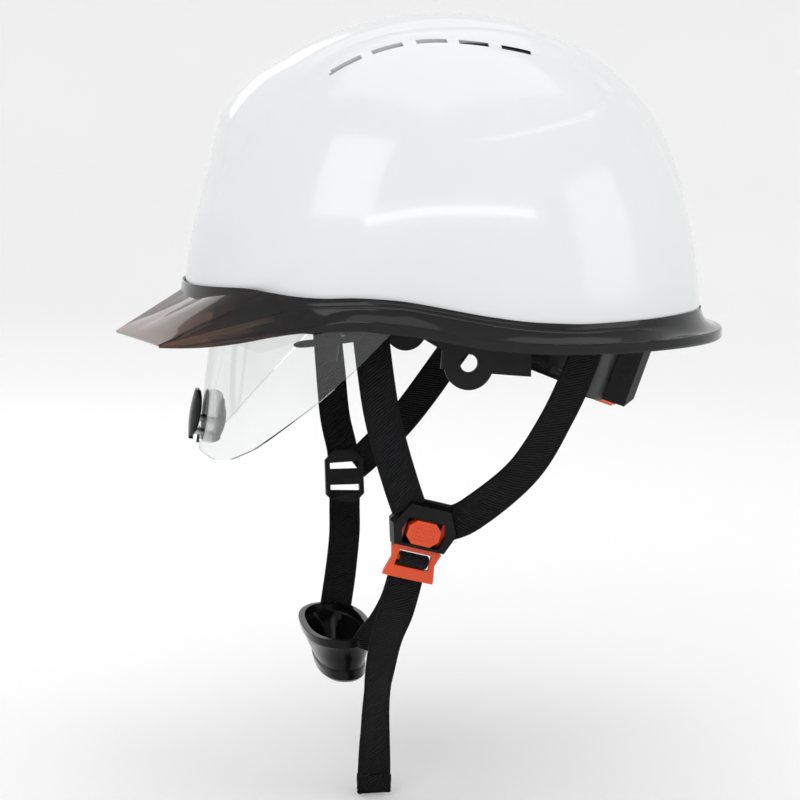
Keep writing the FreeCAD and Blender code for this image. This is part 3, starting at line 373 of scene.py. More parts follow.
WHITE = white_look()
SMOKE = smoke_look()
LENS_LOOK = clear("clear_polycarbonate", (0.975, 0.985, 0.985), 0.012)
NOSE = clear("grey_elastomer", (0.62, 0.63, 0.63), 0.2, ior=1.42)
GLOSS = plastic("black_gloss_nylon", (0.003, 0.003, 0.0034), (0.006, 0.006, 0.0065),
                (0.12, 0.22), 500, 0.00008, Specular_IOR_Level=0.16)
MATTE = plastic("black_grained_plastic", (0.005, 0.005, 0.0055), (0.01, 0.01, 0.0105),
                (0.34, 0.5), 900, 0.00015, Specular_IOR_Level=0.2)
ORANGE = plastic("orange_acetal", (0.66, 0.052, 0.004), (0.74, 0.066, 0.006), (0.28, 0.4), 700, 0.0001,
                 Subsurface_Weight=0.05)
TWILL = webbing_look()
KNIT = cloth_look()
FOAM = foam_look()
STEEL = steel_look()
THREAD = plastic("black_thread", (0.004, 0.004, 0.0045), (0.012, 0.012, 0.013), (0.5, 0.7), 2500, 0.0001,
                 Specular_IOR_Level=0.15)

# ---------------------------------------------------------------- lines that several pieces share
LIP = [(-130, -1), (-116, 2), (-101, 6.2), (-80, 11), (-55, 12.6), (-30, 10), (0, 4), (28, 1.4),
       (60, 0.6), (140, 0.5)]
SEAM = [(-130, 27), (-116, 28), (-98, 29), (-85, 26.5), (-70, 25.4), (-55, 26.2), (-36, 25), (-20, 22),
        (0, 18), (20, 15), (45, 13.4), (80, 14), (105, 14.8), (140, 14.5)]


def smooth_line(table):
    """The same line with its corners rounded, as a lookup."""
    xs = np.linspace(table[0][0], table[-1][0], 400)
    ys = np.interp(xs, *zip(*table))
    pad = np.pad(ys, 14, mode="edge")
    for _ in range(2):
        pad = np.convolve(pad, np.ones(15) / 15, mode="same")
    ys = pad[14:-14]
    return list(zip(xs, ys))


LIP, SEAM = smooth_line(LIP), smooth_line(SEAM)
DOME = dict(length=123.5, width=103.0, height=150.0, centre=1.0)
PLAN, PROFILE = 2.3, 2.25


def oval(turn, front, rear, half, centre=0.0, power=PLAN):
    """Point of a squarish oval; the turn is counted from the rear, towards the wearer's right."""
    c, s = np.cos(turn), np.sin(turn)
    reach = np.where(c > 0, rear, front)
    x = centre + reach * np.sign(c) * np.abs(c) ** (2 / power)
    return x, half * np.sign(s) * np.abs(s) ** (2 / power)


def dome_oval(turn, z, out=0.0):
    scale = (1 - np.clip(z / DOME["height"], 0, 1) ** PROFILE) ** (1 / PROFILE)
    return oval(turn, DOME["length"] * scale + out, DOME["length"] * scale + out,
                DOME["width"] * scale + out, DOME["centre"])


# ---------------------------------------------------------------- shell
SHELL_WALL, LINER_OUTSIDE, LINER_INSIDE = 2.6, 3.3, 17.0      # the last two are depths below the shell's skin
BAND_HALF = 31.0
VENT_ROW, VENT_LENGTH, VENT_HEIGHT = 47.5, 14.0, 3.0
VENT_PLACES = (-52.0, -33.0, -13.0, 6.5, 26.5)
# the centre line of the hat, from the brow over the crown to the nape
CENTRE_LINE = [(-121.9, 22), (-119.8, 35.1), (-116.8, 52), (-112.3, 68.7), (-108.3, 85.5), (-105.8, 96.6),
               (-103.4, 105.0), (-96.3, 114.2), (-87.3, 122.5), (-73.6, 130.9), (-52.3, 142.1), (-34.3, 147.8),
               (-20.9, 150.7), (0.2, 152.8), (19.1, 151.2), (34.7, 148.6), (49.5, 143.1), (63.4, 137.5),
               (83.5, 123.5), (98.8, 106.3), (109.9, 85.1), (118.8, 50), (123.5, 20.4)]
RECESS = [(-60, 90), (-4, 90.5), (8.5, 92.1), (22.9, 95.1), (39.9, 98.6), (53.6, 102.1), (68.7, 110),
          (76, 122)]
BROW_CREASE = [(-103, 26), (-97, 30), (-87.5, 33.2), (-75.2, 43), (-66, 52)]


def shell_edge(x):
    """The shell ends just inside the brim in front, and low behind the ears."""
    low = line(LIP, x) + 4.4
    high = line(SEAM, x) - 3.0
    return low + (high - low) * (1 - ease(x, -80, -45))


def dome_radius(across, aim, inset):
    """Distance from the Y axis to the plain dome at the side distance across, along an angle."""
    half, tall, length = DOME["width"] - inset, DOME["height"] - inset, DOME["length"] - inset
    share = np.clip(np.abs(across) / half, 0, 1) ** PLAN
    near, far = np.zeros_like(aim), np.full_like(aim, 190.0)
    for _ in range(34):
        r = (near + far) / 2
        out = ((r * np.abs(np.cos(aim)) / length) ** PLAN + share) ** (PROFILE / PLAN)
        out = out + (r * np.sin(aim) / tall) ** PROFILE
        near, far = np.where(out < 1, r, near), np.where(out < 1, far, r)
    return near


def band_lift(aim):
    """How far the centre band stands over the plain dome, along an angle from the front."""
    xs, zs = (np.array(v, float) for v in zip(*CENTRE_LINE))
    angles = np.arctan2(zs, -(xs - DOME["centre"]))
    radii = np.hypot(xs - DOME["centre"], zs)
    lift = radii - dome_radius(np.zeros_like(angles), angles, 0.0)
    order = np.argsort(angles)
    return np.clip(np.interp(aim, angles[order], lift[order]), 0, 12)


def shell_surface(inset, detail, edge=shell_edge):
    """Rows from one side of the head to the other, each from the brow over to the nape."""
    edges = [BAND_HALF, 33.0, 34.5, 36.0, 38.5, 41.0, 43.0, VENT_ROW - 3.2, VENT_ROW - 2.4,
             VENT_ROW - VENT_HEIGHT / 2, VENT_ROW, VENT_ROW + VENT_HEIGHT / 2, VENT_ROW + 2.4]
    spin = np.radians(np.linspace(0, 87.8, 110))
    across = np.sort(np.concatenate([DOME["width"] * np.sin(spin) ** (2 / PLAN), edges]))
    across = across[np.concatenate([[True], (np.diff(across) > 0.35) | (across[1:] > 60)])]
    for value in edges:
        across[np.argmin(np.abs(across - value))] = value
    across = np.concatenate([-across[:0:-1], across])
    base = np.linspace(0, 180, 270)
    for place in VENT_PLACES:
        for end in (-VENT_LENGTH / 2, VENT_LENGTH / 2):
            x = place + end
            z = 138.0 - 0.0036 * (x - 3) ** 2
            aim = math.degrees(math.atan2(z, -(x - DOME["centre"])))
            base[np.argmin(np.abs(base - aim))] = aim
    rows = []
    fine = np.radians(np.linspace(0.5, 179.5, 1400))
    for y in across:
        half = DOME["width"] - inset
        y_in = np.clip(y * half / DOME["width"], -half, half) if inset else y
        radius = dome_radius(np.full_like(fine, y_in), fine, inset)
        x = DOME["centre"] - radius * np.cos(fine)
        inside = radius * np.sin(fine) - edge(x) > 0
        if inside.sum() < 6:
            continue
        low, high = np.degrees(fine[inside][[0, -1]])
        knots = [low, max(20.0, low + 5), min(160.0, high - 5), high]
        aim = np.radians(np.interp(base, [0, 20, 160, 180], knots))
        r = dome_radius(np.full_like(aim, y_in), aim, inset)
        if detail:
            r = r + relief(y, aim, r)
        x = DOME["centre"] - r * np.cos(aim)
        rows.append(np.column_stack([x, np.full_like(aim, y_in), r * np.sin(aim)]))
    return np.array(rows)


def relief(y, aim, r):
    """Raised centre band, the step over the vents, the hollow round them and the crease by the brow."""
    x, z = DOME["centre"] - r * np.cos(aim), r * np.sin(aim)
    side = abs(y)
    lift = band_lift(aim)
    inner = BAND_HALF - 5.0 * ease(lift, 3, 8)
    outer = inner + 3.2 + 1.5 * lift
    rise = lift * (1 - ease(side, inner, outer))
    step = 0.9 * (1 - ease(side, VENT_ROW - 3.2, VENT_ROW - 1.7)) * ease(side, 34, 41)
    rise = rise + step * ease(x, -66, -56) * (1 - ease(x, 32, 42))
    below = line(RECESS, x)
    hollow = ease(z - below, 0, 4.5) * ease(side, 37, 46) * ease(x, -22, 26)
    hollow = hollow * (1 - ease(x - 0.8 * (side - 48), 70, 78))
    rise = rise - 2.4 * hollow
    brow = line(BROW_CREASE, x)
    dent = (1 - ease(z - brow, -3.5, 0.5)) * ease(x, -104, -95)
    dent = dent * (1 - ease(x, -80, -66)) * ease(side, 45, 62)
    return rise - 1.1 * dent * ease(z, 22, 27)


def vented_wall(name, outer, inner, look, nodes):
    """Two skins joined round their rim and round each vent."""
    count = min(len(outer), len(inner))
    trim = (len(outer) - count) // 2
    outer = outer[trim:trim + count]
    trim = (len(inner) - count) // 2
    inner = inner[trim:trim + count]
    rows, columns = outer.shape[:2]
    holes = set()
    for i in range(rows - 1):
        y = (outer[i, 0, 1] + outer[i + 1, 0, 1]) / 2
        if abs(abs(y) - VENT_ROW) > VENT_HEIGHT / 2:
            continue
        for j in range(columns - 1):
            x = (outer[i, j, 0] + outer[i, j + 1, 0]) / 2
            if outer[i, j, 2] > 90 and any(abs(x - p) < VENT_LENGTH / 2 for p in VENT_PLACES):
                holes.add((i, j))
    total = rows * columns
    faces = []

    def corner(layer, i, j):
        return layer * total + i * columns + j

    for layer in (0, 1):
        for i in range(rows - 1):
            for j in range(columns - 1):
                if (i, j) not in holes:
                    faces.append((corner(layer, i, j), corner(layer, i, j + 1),
                                  corner(layer, i + 1, j + 1), corner(layer, i + 1, j)))
    # walls round the rim and round every vent
    for i in range(rows - 1):
        for j in range(columns - 1):
            here = (i, j) not in holes
            sides = [((i, j), (i, j + 1), (i - 1, j)), ((i + 1, j), (i + 1, j + 1), (i + 1, j)),
                     ((i, j), (i + 1, j), (i, j - 1)), ((i, j + 1), (i + 1, j + 1), (i, j + 1))]
            for a, b, other in sides:
                beyond = 0 <= other[0] < rows - 1 and 0 <= other[1] < columns - 1 and other not in holes
                if here and not beyond:
                    faces.append((corner(0, *a), corner(0, *b), corner(1, *b), corner(1, *a)))
    points = np.concatenate([outer.reshape(-1, 3), inner.reshape(-1, 3)])
    return add_piece(name, points, faces, look, "helmet", nodes, sharp=42)


def liner_edge(x):
    """The foam starts well above the brim: high in front, lower behind."""
    return line([(-140, 92), (-30, 84), (140, 46)], x)


def build_liner():
    outer = shell_surface(LINER_OUTSIDE, False, liner_edge)
    inner = shell_surface(LINER_INSIDE, False, liner_edge)
    # long air channels pressed into the inner face
    for row in inner:
        across = abs(row[0, 1])
        deep = 2.6 * max(math.exp(-((across - place) / 4.0) ** 2) for place in (0.0, 24.0))
        fade = ease(row[:, 2] - liner_edge(row[:, 0]), 4, 16)[:, None]
        centre = np.array([DOME["centre"], row[0, 1], 0.0])
        away = row - centre
        row += away / np.linalg.norm(away, axis=1)[:, None] * deep * fade
    vented_wall("foam_liner", outer, inner, FOAM, ["impact_liner"])


vented_wall("shell_body", shell_surface(0.0, True), shell_surface(SHELL_WALL, False), WHITE,
            ["shell"])
build_liner()


# ---------------------------------------------------------------- brim and carrier
RIM = dict(front=128.0, rear=135.0, half=111.0)
PEAK_START, PEAK_TIP, PEAK_CORNER = -92.0, (-154.6, 0.0, 4.2), (-136.8, 47.8, 2.4)
RIDGE_HALF = 13.0
BRIM_WALL = 2.1
COLLAR_LEVEL = 22.0     # height at which the collar follows the dome
LEDGE = smooth_line([(-140, 1), (-117, 8.5), (-94, 17.4), (-80, 20.6), (-68, 21.5), (-50, 21.8), (-36, 20.8),
                     (-20, 17.8), (0, 13.9), (20, 11), (45, 9.4), (80, 9.8), (140, 9.8)])
START_TURN = math.pi - math.acos((-PEAK_START / RIM["front"]) ** (PLAN / 2))


def rim_frame(turn, out=1.1):
    """Inner point on the dome, outer point on the lip, and the heights of the rim's lines, at one turn."""
    ox, oy = (float(v) for v in oval(turn, RIM["front"], RIM["rear"], RIM["half"]))
    dx, dy = (float(v) for v in dome_oval(turn, 20.0, out))
    lip = float(line(LIP, ox))
    lip_tall = 1.6 + 3.0 * float(ease(ox, -85, -58))
    heights = dict(seam=float(line(SEAM, dx)), ledge=float(line(LEDGE, ox)), lip=lip, tall=lip_tall)
    return (dx, dy), (ox, oy), heights


def across_rim(dome_point, lip_point, profile):
    """Points of a profile of (share of the way out, height) pairs."""
    (dx, dy), (ox, oy) = dome_point, lip_point
    return [(dx + (ox - dx) * s, dy + (oy - dy) * s, z) for s, z in profile]


def cove(s_end, z_start, z_end, count):
    """Concave quarter turn, from upright at the dome to level at its foot."""
    return [(s_end * (1 - math.cos(k * math.pi / 2 / (count - 1))),
             z_start - (z_start - z_end) * math.sin(k * math.pi / 2 / (count - 1))) for k in range(count)]


def rim_section(turn):
    dome_point, lip_point, at = rim_frame(turn)
    top = at["lip"] + at["tall"]
    foot = [(0.965, top), (1.0, top - 0.5), (1.0, at["lip"] + 0.5), (0.965, at["lip"])]
    ledge = at["ledge"]
    wall = [(0.37 + 0.49 * k / 4, ledge - 0.35 - (ledge - top - 0.5) * (k / 4) ** 0.9) for k in range(5)]
    side = cove(0.35, at["seam"], ledge, 6) + wall + foot
    rear = cove(0.93, at["seam"], top + 0.25, 11) + foot
    share = float(ease(lip_point[0], 70, 104))
    profile = [(a[0] + (b[0] - a[0]) * share, a[1] + (b[1] - a[1]) * share) for a, b in zip(side, rear)]
    return across_rim(dome_point, lip_point, profile)


def collar_drop(y):
    """Height of the upright collar between the seam and the peak."""
    return float(np.interp(abs(y), [0, 35, 60, 78], [5.0, 6.2, 3.2, 0.0]))


def collar(turn, low):
    """Point at the collar's foot or at the seam, in front of the dome."""
    x, y = (float(v) for v in dome_oval(turn, COLLAR_LEVEL, 1.9 if low else 1.1))
    z = float(line(SEAM, x))
    return (x, y, z - collar_drop(y)) if low else (x, y, z)


def build_brim():
    """One sheet, the rim with its coves and ledges and then the faceted peak, made into a wall of plastic."""
    turns = np.linspace(-START_TURN, START_TURN, 320)
    rim = [rim_section(turn) for turn in turns]
    count = 26
    corner_top, corner_low = PEAK_CORNER, (PEAK_CORNER[0], PEAK_CORNER[1], 0.9)
    points, faces, walls = [], [], []

    def add_grid(grid, thin):
        start = len(points)
        for section in grid:
            points.extend(section)
            walls.extend(thin[:len(section)])
        faces.extend(grid_faces(len(grid), len(grid[0]), start))

    rows = len(rim[0])
    thin = [0.3, 0.42, 0.6, 0.8, 0.95] + [1.0] * rows
    add_grid(rim, thin)
    for side, first in ((-1, rim[0]), (1, rim[-1])):
        # from the rim to the corner of the peak
        ends = [corner_top] * 7 + [corner_low] * (rows - 7)
        grid = []
        for step in range(count + 1):
            t = step / count
            bulge = 4 * t * (1 - t)
            section = []
            for k, (a, b) in enumerate(zip(first, ends)):
                sag = bulge * max(0, k - 6) / (rows - 7)
                section.append((a[0] + (b[0] - a[0]) * t, a[1] + (side * b[1] - a[1]) * t + side * 2.5 * sag,
                                a[2] + (b[2] - a[2]) * t - 1.3 * sag))
            grid.append(section)
        add_grid(grid, [1.0] * rows)
        # the main facet, from the crease to the ridge, with the collar above it
        grid = []
        turn_ridge = math.pi - math.asin((RIDGE_HALF / 104.5) ** (PLAN / 2))
        for step in range(31):
            u = min(step / 27, 1.0)
            turn = START_TURN + (turn_ridge - START_TURN) * u
            if step > 27:
                turn = turn_ridge + (math.pi - turn_ridge) * (step - 27) / 3
            outer = [corner_top[0] + (PEAK_TIP[0] - corner_top[0]) * u,
                     side * corner_top[1] * (1 - u), corner_top[2] + (PEAK_TIP[2] - corner_top[2]) * u]
            foot, seam = collar(turn, True), collar(turn, False)
            if step == 0:
                foot = seam = (first[0][0], side * first[0][1], first[0][2])
            if step > 27:
                foot = (foot[0], foot[1], foot[2] + 0.9 * (step - 27) / 3)
            foot, seam = [(p[0], side * p[1], p[2]) for p in (foot, seam)]
            section = [tuple(o + (f - o) * r / count for o, f in zip(outer, foot)) for r in range(count + 1)]
            section += [tuple((f + 2 * s) / 3 for f, s in zip(foot, seam)), seam]
            grid.append(section)
        if side > 0:
            grid = grid[::-1]
        add_grid(grid, [1.0] * (count + 1) + [0.6, 0.3])
    piece = add_piece("smoked_brim", points, faces, SMOKE, "helmet", ["brim"], sharp=24)
    crisp_front(piece.data, -94.0, 7.0)
    weigh(piece, points, walls)
    thicken(piece, BRIM_WALL, "wall")
    soften(piece, 0.35, angle=24)
    return piece


def crisp_front(mesh, before, degrees):
    """The peak's facets meet in crisp creases, though they meet at small angles."""
    work = bmesh.new()
    work.from_mesh(mesh)
    for edge in work.edges:
        if max(v.co.x for v in edge.verts) < before * MM and edge.is_manifold:
            if edge.calc_face_angle(0.0) > math.radians(degrees):
                edge.smooth = False
    work.to_mesh(mesh)
    work.free()


def weigh(piece, points, walls):
    """Give each vertex its share of the wall's thickness, found by place because doubles were merged."""
    shares = {}
    for point, share in zip(points, walls):
        key = tuple(round(float(c), 2) for c in point)
        shares[key] = min(share, shares.get(key, 1.0))
    group = piece.vertex_groups.new(name="wall")
    for vertex in piece.data.vertices:
        key = tuple(round(float(c) / MM, 2) for c in vertex.co)
        group.add([vertex.index], shares.get(key, 1.0), "REPLACE")


def carrier_section(turn):
    dome_point, lip_point, at = rim_frame(turn, 0.3)
    x = lip_point[0]
    lip, ledge, seam = at["lip"], at["ledge"], at["seam"]
    behind = float(ease(x, 88, 95))
    front = 1 - float(ease(x, -92, -72))
    low = lip + 0.7 + (ledge - 3.5 - lip) * front
    top = lip + at["tall"]
    edge = max(float(shell_edge(np.array(dome_point[0]))) - 0.4, low + 0.6)
    high = seam - 2.6 + (lip + 4.4 - seam + 2.6) * behind
    shoulder = ledge - 1.9 + (lip + 4.3 - ledge + 1.9) * behind
    knee = max(top - 1.2 - 0.6 * behind, low + 0.8)
    lip_inset = 0.73 - 0.25 * front
    profile = [(0.0, high), (0.14, shoulder), (lip_inset - 0.1, knee), (lip_inset, max(top - 1.8, low + 0.5)),
               (lip_inset, low), (0.1, low), (-0.42, low), (-0.42, edge), (0.0, edge)]
    return across_rim(dome_point, lip_point, profile)


def build_carrier():
    """Black ring inside the brim: a deep wall beside the head, a low one behind, a thin lining in front."""
    turns = np.linspace(-START_TURN, START_TURN, 300)
    points, faces = skin([carrier_section(turn) for turn in turns])
    ring = add_piece("black_carrier", points, faces, GLOSS, "helmet", ["rim_carrier"], sharp=30)
    soften(ring, 0.3)
    sections = []
    for turn in np.linspace(START_TURN, 2 * math.pi - START_TURN, 70):
        x, y = (float(v) for v in dome_oval(turn, COLLAR_LEVEL, 0.0))
        z = float(line(SEAM, x))
        low = z - 2.5 - collar_drop(y)
        outer, inner = dome_oval(turn, COLLAR_LEVEL, 0.55), dome_oval(turn, COLLAR_LEVEL, 0.1)
        sections.append([(*outer, z - 0.5), (*outer, low), (*inner, low), (*inner, z - 0.5)])
    points, faces = skin(sections)
    add_piece("carrier_brow_lining", points, faces, GLOSS, "helmet")


build_brim()
build_carrier()


# ---------------------------------------------------------------- shield
LENS = dict(front=109.8, half=92.0, wall=2.0, lean=math.radians(8.5))
LENS_TOP = [(-125, 37), (-104, 37), (-84, 30), (-60, 22), (-34, 19)]
LENS_BOTTOM = [(-125, -49.5), (-112, -52.5), (-106, -50.5), (-96, -44), (-82, -32), (-69, -21), (-52, -5),
               (-38, 10), (-33, 17.5)]
LENS_AXIS = np.array([math.sin(LENS["lean"]), 0, math.cos(LENS["lean"])])


def lens_point(turn, z, inset=0.0):
    x, y = oval(turn, LENS["front"] - inset, LENS["front"] - inset, LENS["half"] - inset)
    return np.array([float(x) + z * math.tan(LENS["lean"]), float(y), z])


def lens_heights(turn):
    """Upper and lower edge of the shield at one turn; the lower one has the notch for the nose."""
    top, bottom = 20.0, -20.0
    for _ in range(12):
        top = float(line(LENS_TOP, lens_point(turn, top)[0]))
        bottom = float(line(LENS_BOTTOM, lens_point(turn, bottom)[0]))
    y = abs(lens_point(turn, bottom)[1])
    notch = -50 + math.sqrt(max(64 - y * y, 0)) if y < 8 else -60 - (y - 8)
    return top, max(bottom, notch)


def build_lens():
    last = math.pi - math.acos((36.5 / LENS["front"]) ** (PLAN / 2))
    turns = [math.pi + (math.pi - last) * part for part in np.linspace(-1, 1, 221)]
    close = [math.pi + v for v in np.linspace(-0.075, 0.075, 25)]
    turns = sorted([t for t in turns if abs(t - math.pi) > 0.077] + close)
    rows = 44
    points = []
    for turn in turns:
        top, bottom = lens_heights(turn)
        for k in range(rows):
            share = k / (rows - 1)
            share = 0.5 - 0.5 * math.cos(math.pi * share) * 0.999
            points.append(lens_point(turn, bottom + (top - bottom) * share))
    faces = grid_faces(len(turns), rows)
    lens = add_piece("clear_shield", points, faces, LENS_LOOK, "shield", ["face_shield"], sharp=60)
    thicken(lens, LENS["wall"], clamp=0.0)
    soften(lens, 0.35, angle=50)


def build_nose_grip():
    """Dark leaf-shaped grip in front of the shield and the clear saddle behind it."""
    forward = np.array([-math.cos(LENS["lean"]), 0, math.sin(LENS["lean"])])
    origin = np.array([-LENS["front"], 0, 0]) + LENS_AXIS * -37.0
    sections = []
    for k in range(25):
        h = -12 + 24 * k / 24
        half = 10.4 * max(1 - abs(h / 12.2 - 0.12) ** 2.6, 0.04) ** 0.62
        bow = 1.1 * (1 - (h / 12) ** 2)
        section = []
        for j in range(28):
            a = 2 * math.pi * j / 28
            w = half * signed_power(math.cos(a), 0.55)
            d = 1.15 * signed_power(math.sin(a), 0.6)
            sink = -0.028 * w * w
            section.append(origin + LENS_AXIS * h + np.array([0, w, 0])
                           + forward * (2.2 + bow + d + sink + 1.1))
        sections.append(section)
    points, faces = skin(sections)
    grip = add_piece("leaf_grip", points, faces, GLOSS, "shield", ["nose_grip"], sharp=50)
    soften(grip, 0.3, 40)
    sections = []
    for k in range(27):
        h = -12.2 + 24.4 * k / 26
        half = 10.8 * max(1 - abs(h / 12.6) ** 4, 0.05) ** 0.4
        section = []
        spread = [(-half + 2 * half * j / 14) for j in range(15)]
        face_side = [(w, -2.35 - 0.0049 * w * w * 1.3) for w in spread]
        nose_side = []
        for w in reversed(spread):
            wing = abs(w) / 11.0
            deep = 4.2 + 6.4 * wing ** 1.7 - 3.2 * max(0, wing - 0.86) / 0.14 * (1 if half > 9 else 0.4)
            deep *= 0.75 + 0.25 * math.cos(h / 12.4 * math.pi / 2)
            nose_side.append((w * 0.985, -2.4 - deep))
        for w, d in face_side + nose_side:
            section.append(origin + LENS_AXIS * h + np.array([0, w, 0]) + forward * d)
        sections.append(section)
    points, faces = skin(sections)
    pad = add_piece("nose_saddle", points, faces, NOSE, "shield", ["nose_pad"], sharp=45)
    soften(pad, 0.6, 35, 3)


def build_sliders():
    """Curved bars on the inner face of the shield, one beside each temple."""
    reach = LENS["front"] - LENS["wall"] - 0.25
    for side, label in ((-1, "shield_slider_left"), (1, "shield_slider_right")):
        low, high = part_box(label)
        middle = (low[2] + high[2]) / 2 / MM
        sections = []
        for k in range(31):
            x = -78.0 + 27.0 * k / 30
            share = min((-x + middle * math.tan(LENS["lean"])) / reach, 1)
            turn = math.pi - math.acos(share ** (PLAN / 2))
            taper = 1 - 0.7 * abs(2 * k / 30 - 1) ** 10
            section = []
            for inset, lift in ((0.0, -1.7), (0.0, 1.7), (2.3, 1.5), (2.3, -1.5)):
                z = middle + lift * taper + 0.16 * (x + 64)
                px, py = oval(turn, reach - inset * taper, reach - inset * taper,
                              LENS["half"] - LENS["wall"] - 0.25 - inset * taper)
                section.append((float(px) + z * math.tan(LENS["lean"]), side * abs(float(py)), z))
            sections.append(section)
        points, faces = skin(sections)
        bar = add_piece("curved_" + label, points, faces, GLOSS, "shield", [label], sharp=30)
        soften(bar, 0.4)


build_lens()
build_nose_grip()
build_sliders()


# ---------------------------------------------------------------- webbing
CHEEK = np.array([0, -1.0, 0])
WEB_WIDTH, WEB_WALL = 16.0, 1.5
ROUTES = {
    "left_front_strap": [(-45.5, -73.6, 19), (-44.8, -75.2, 4), (-41.4, -77.6, -24), (-36.8, -76.8, -43),
                         (-31.4, -75.0, -60.4), (-27.8, -73.0, -70.5)],
    "left_rear_strap": [(54.8, -80.6, 11.4), (50, -81.4, -4), (39, -79, -30), (24, -75.8, -55),
                        (1.6, -71.4, -74.4), (-10.5, -68.6, -80.0)],
    "right_front_strap": [(-46, 73.6, 19), (-45.2, 75.2, 4), (-42.5, 78, -24), (-40.3, 76, -50),
                          (-37.4, 71.4, -66.2), (-36.9, 69.6, -74)],
    "right_rear_strap": [(44, 83.6, 10.2), (36, 83.4, -2), (22, 80.4, -20), (-2, 75.4, -50),
                         (-22.5, 72.2, -69.6), (-30.5, 70.6, -76)],
    "right_lower_strap": [(-36.8, 65.4, -88), (-37.2, 63.4, -96.4), (-38.4, 56, -109),
                          (-41.5, 46.4, -124), (-45.0, 38.4, -138.5), (-47.0, 34.6, -146)],
    "left_lower_strap": [(-26.9, -59.1, -104.4), (-30.0, -54.0, -118), (-34.0, -45.5, -130),
                         (-38.5, -37.6, -139), (-41.5, -34.6, -146)],
    "strap_tail": [(-26.0, -61.8, -101.0), (-27.2, -61.2, -105.9), (-29.2, -61.2, -113.2),
                   (-31.4, -60.6, -121), (-35.4, -51.6, -140), (-38.2, -46.4, -165),
                   (-39, -45.2, -185), (-39.4, -45, -203.4)],
}
TILTS = {"left_front_strap": (-0.33, -0.94, 0), "left_rear_strap": (0.26, -0.96, 0),
         "right_front_strap": (0.33, -0.94, 0), "right_rear_strap": (-0.2, -0.98, 0)}


def web_section(point, along, normal, width, wall, waver=0.0):
    """Cross-section of woven tape: thin, with a slightly fuller selvedge on each edge."""
    across = unit(np.cross(along, normal))
    out = unit(np.cross(across, along))
    section = []
    places = [-1, -0.97, -0.9, -0.84, -0.78, -0.5, -0.2, 0.2, 0.5, 0.78, 0.84, 0.9, 0.97, 1]
    for side in (1, -1):
        for w in places if side > 0 else reversed(places):
            rim = 1.0 if abs(w) < 0.95 else 0.45 if abs(w) > 0.99 else 0.85
            full = 0.86 + 0.14 * (0.84 <= abs(w) < 0.95)
            section.append(point + across * (w * width / 2) + out * (side * wall / 2 * rim * full + waver * w))
    return section


def web_piece(name, route, body, nodes=(), tilt=CHEEK, width=WEB_WIDTH, wall=WEB_WALL, normals=None,
              wave=0.25):
    """Flat webbing along a route, square to a normal that turns from one end to the other."""
    path, run = curve_points(route)
    count = len(path)
    sections, uv = [], []
    for i, point in enumerate(path):
        part = i / (count - 1)
        along = unit(path[min(i + 1, count - 1)] - path[max(i - 1, 0)])
        if normals is not None:
            normal = np.array([np.interp(part, np.linspace(0, 1, len(normals)), n) for n in zip(*normals)])
        else:
            normal = np.array(tilt) * (1 - part) + CHEEK * part
        waver = wave * math.sin(run[i] * 0.17 + len(name)) * math.sin(math.pi * part)
        section = web_section(point, along, normal, width, wall, waver)
        sections.append(section)
        half = len(section) // 2
        uv.extend([(k / (half - 1) * width if k < half else (2 * half - 1 - k) / (half - 1) * width, run[i])
                   for k in range(len(section))])
    points, faces = skin(sections)
    return add_piece(name, points, faces, TWILL, body, nodes, sharp=50, uv=uv)


def stitches(name, place, along, normal, count, pitch, rows, lift, body):
    """Rows of short thread loops that stand on the webbing."""
    along = unit(np.array(along, float))
    across = unit(np.cross(along, normal))
    out = np.cross(across, along)
    points, faces = [], []
    for row in range(rows):
        for k in range(count):
            middle = np.array(place) + across * ((k - (count - 1) / 2) * pitch)
            middle = middle + along * row * 2.2 + out * lift
            start = len(points)
            for end in (-0.5, -0.3, 0.0, 0.3, 0.5):
                fat = 0.26 * math.sqrt(max(1 - (end * 1.9) ** 2, 0.02))
                arch = 0.12 * (1 - (end * 2) ** 2)
                for a in range(6):
                    turn = a * math.pi / 3
                    points.append(middle + across * end * pitch * 0.8 + along * fat * math.cos(turn)
                                  + out * (fat * math.sin(turn) + arch))
            faces.extend(grid_faces(5, 6, start, wrap_columns=True))
    return add_piece(name, points, faces, THREAD, body, sharp=70)


def build_straps():
    tail_twist = [(0, -1, 0), (-0.1, -1, 0), (0.2, -0.95, 0), (0.5, -0.85, 0), (0.4, -0.9, 0), (0.1, -1, 0)]
    for name, route in ROUTES.items():
        body = "helmet" if "front" in name or "rear" in name else "chin_piece"
        tilt = TILTS.get(name, CHEEK)
        if name == "right_lower_strap":
            piece = web_piece("web_" + name, route, None, [name])
            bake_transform(piece)
            continue
        normals = tail_twist if name == "strap_tail" else None
        web_piece("web_" + name, route, body, [name], tilt=tilt, normals=normals)
    # the folded, sewn end of the tail
    fold = []
    for k in range(15):
        a = math.pi * k / 14 - math.pi / 2
        fold.append((-39.5, -45 - 1.15 * math.sin(a), -210.9 - 1.15 * math.cos(a)))
    loop = [(-39.4, -43.85, -203.6), (-39.45, -43.85, -207)] + fold[::-1]
    loop += [(-39.45, -46.15, -207), (-39.4, -46.1, -203.8)]
    normals = [(0, 1, 0), (0, 1, 0), (0, 0.7, -0.7), (0, 0, -1), (0, -0.7, -0.7), (0, -1, 0), (0, -1, 0)]
    web_piece("web_tail_hem", loop, "chin_piece", ["tail_hem"], normals=normals, wall=2.2, wave=0)
    stitches("tail_stitches", (-39.4, -47.2, -205.2), (0, 0, -1), (0, -1, 0), 11, 1.3, 2, 0.05, "chin_piece")


build_straps()


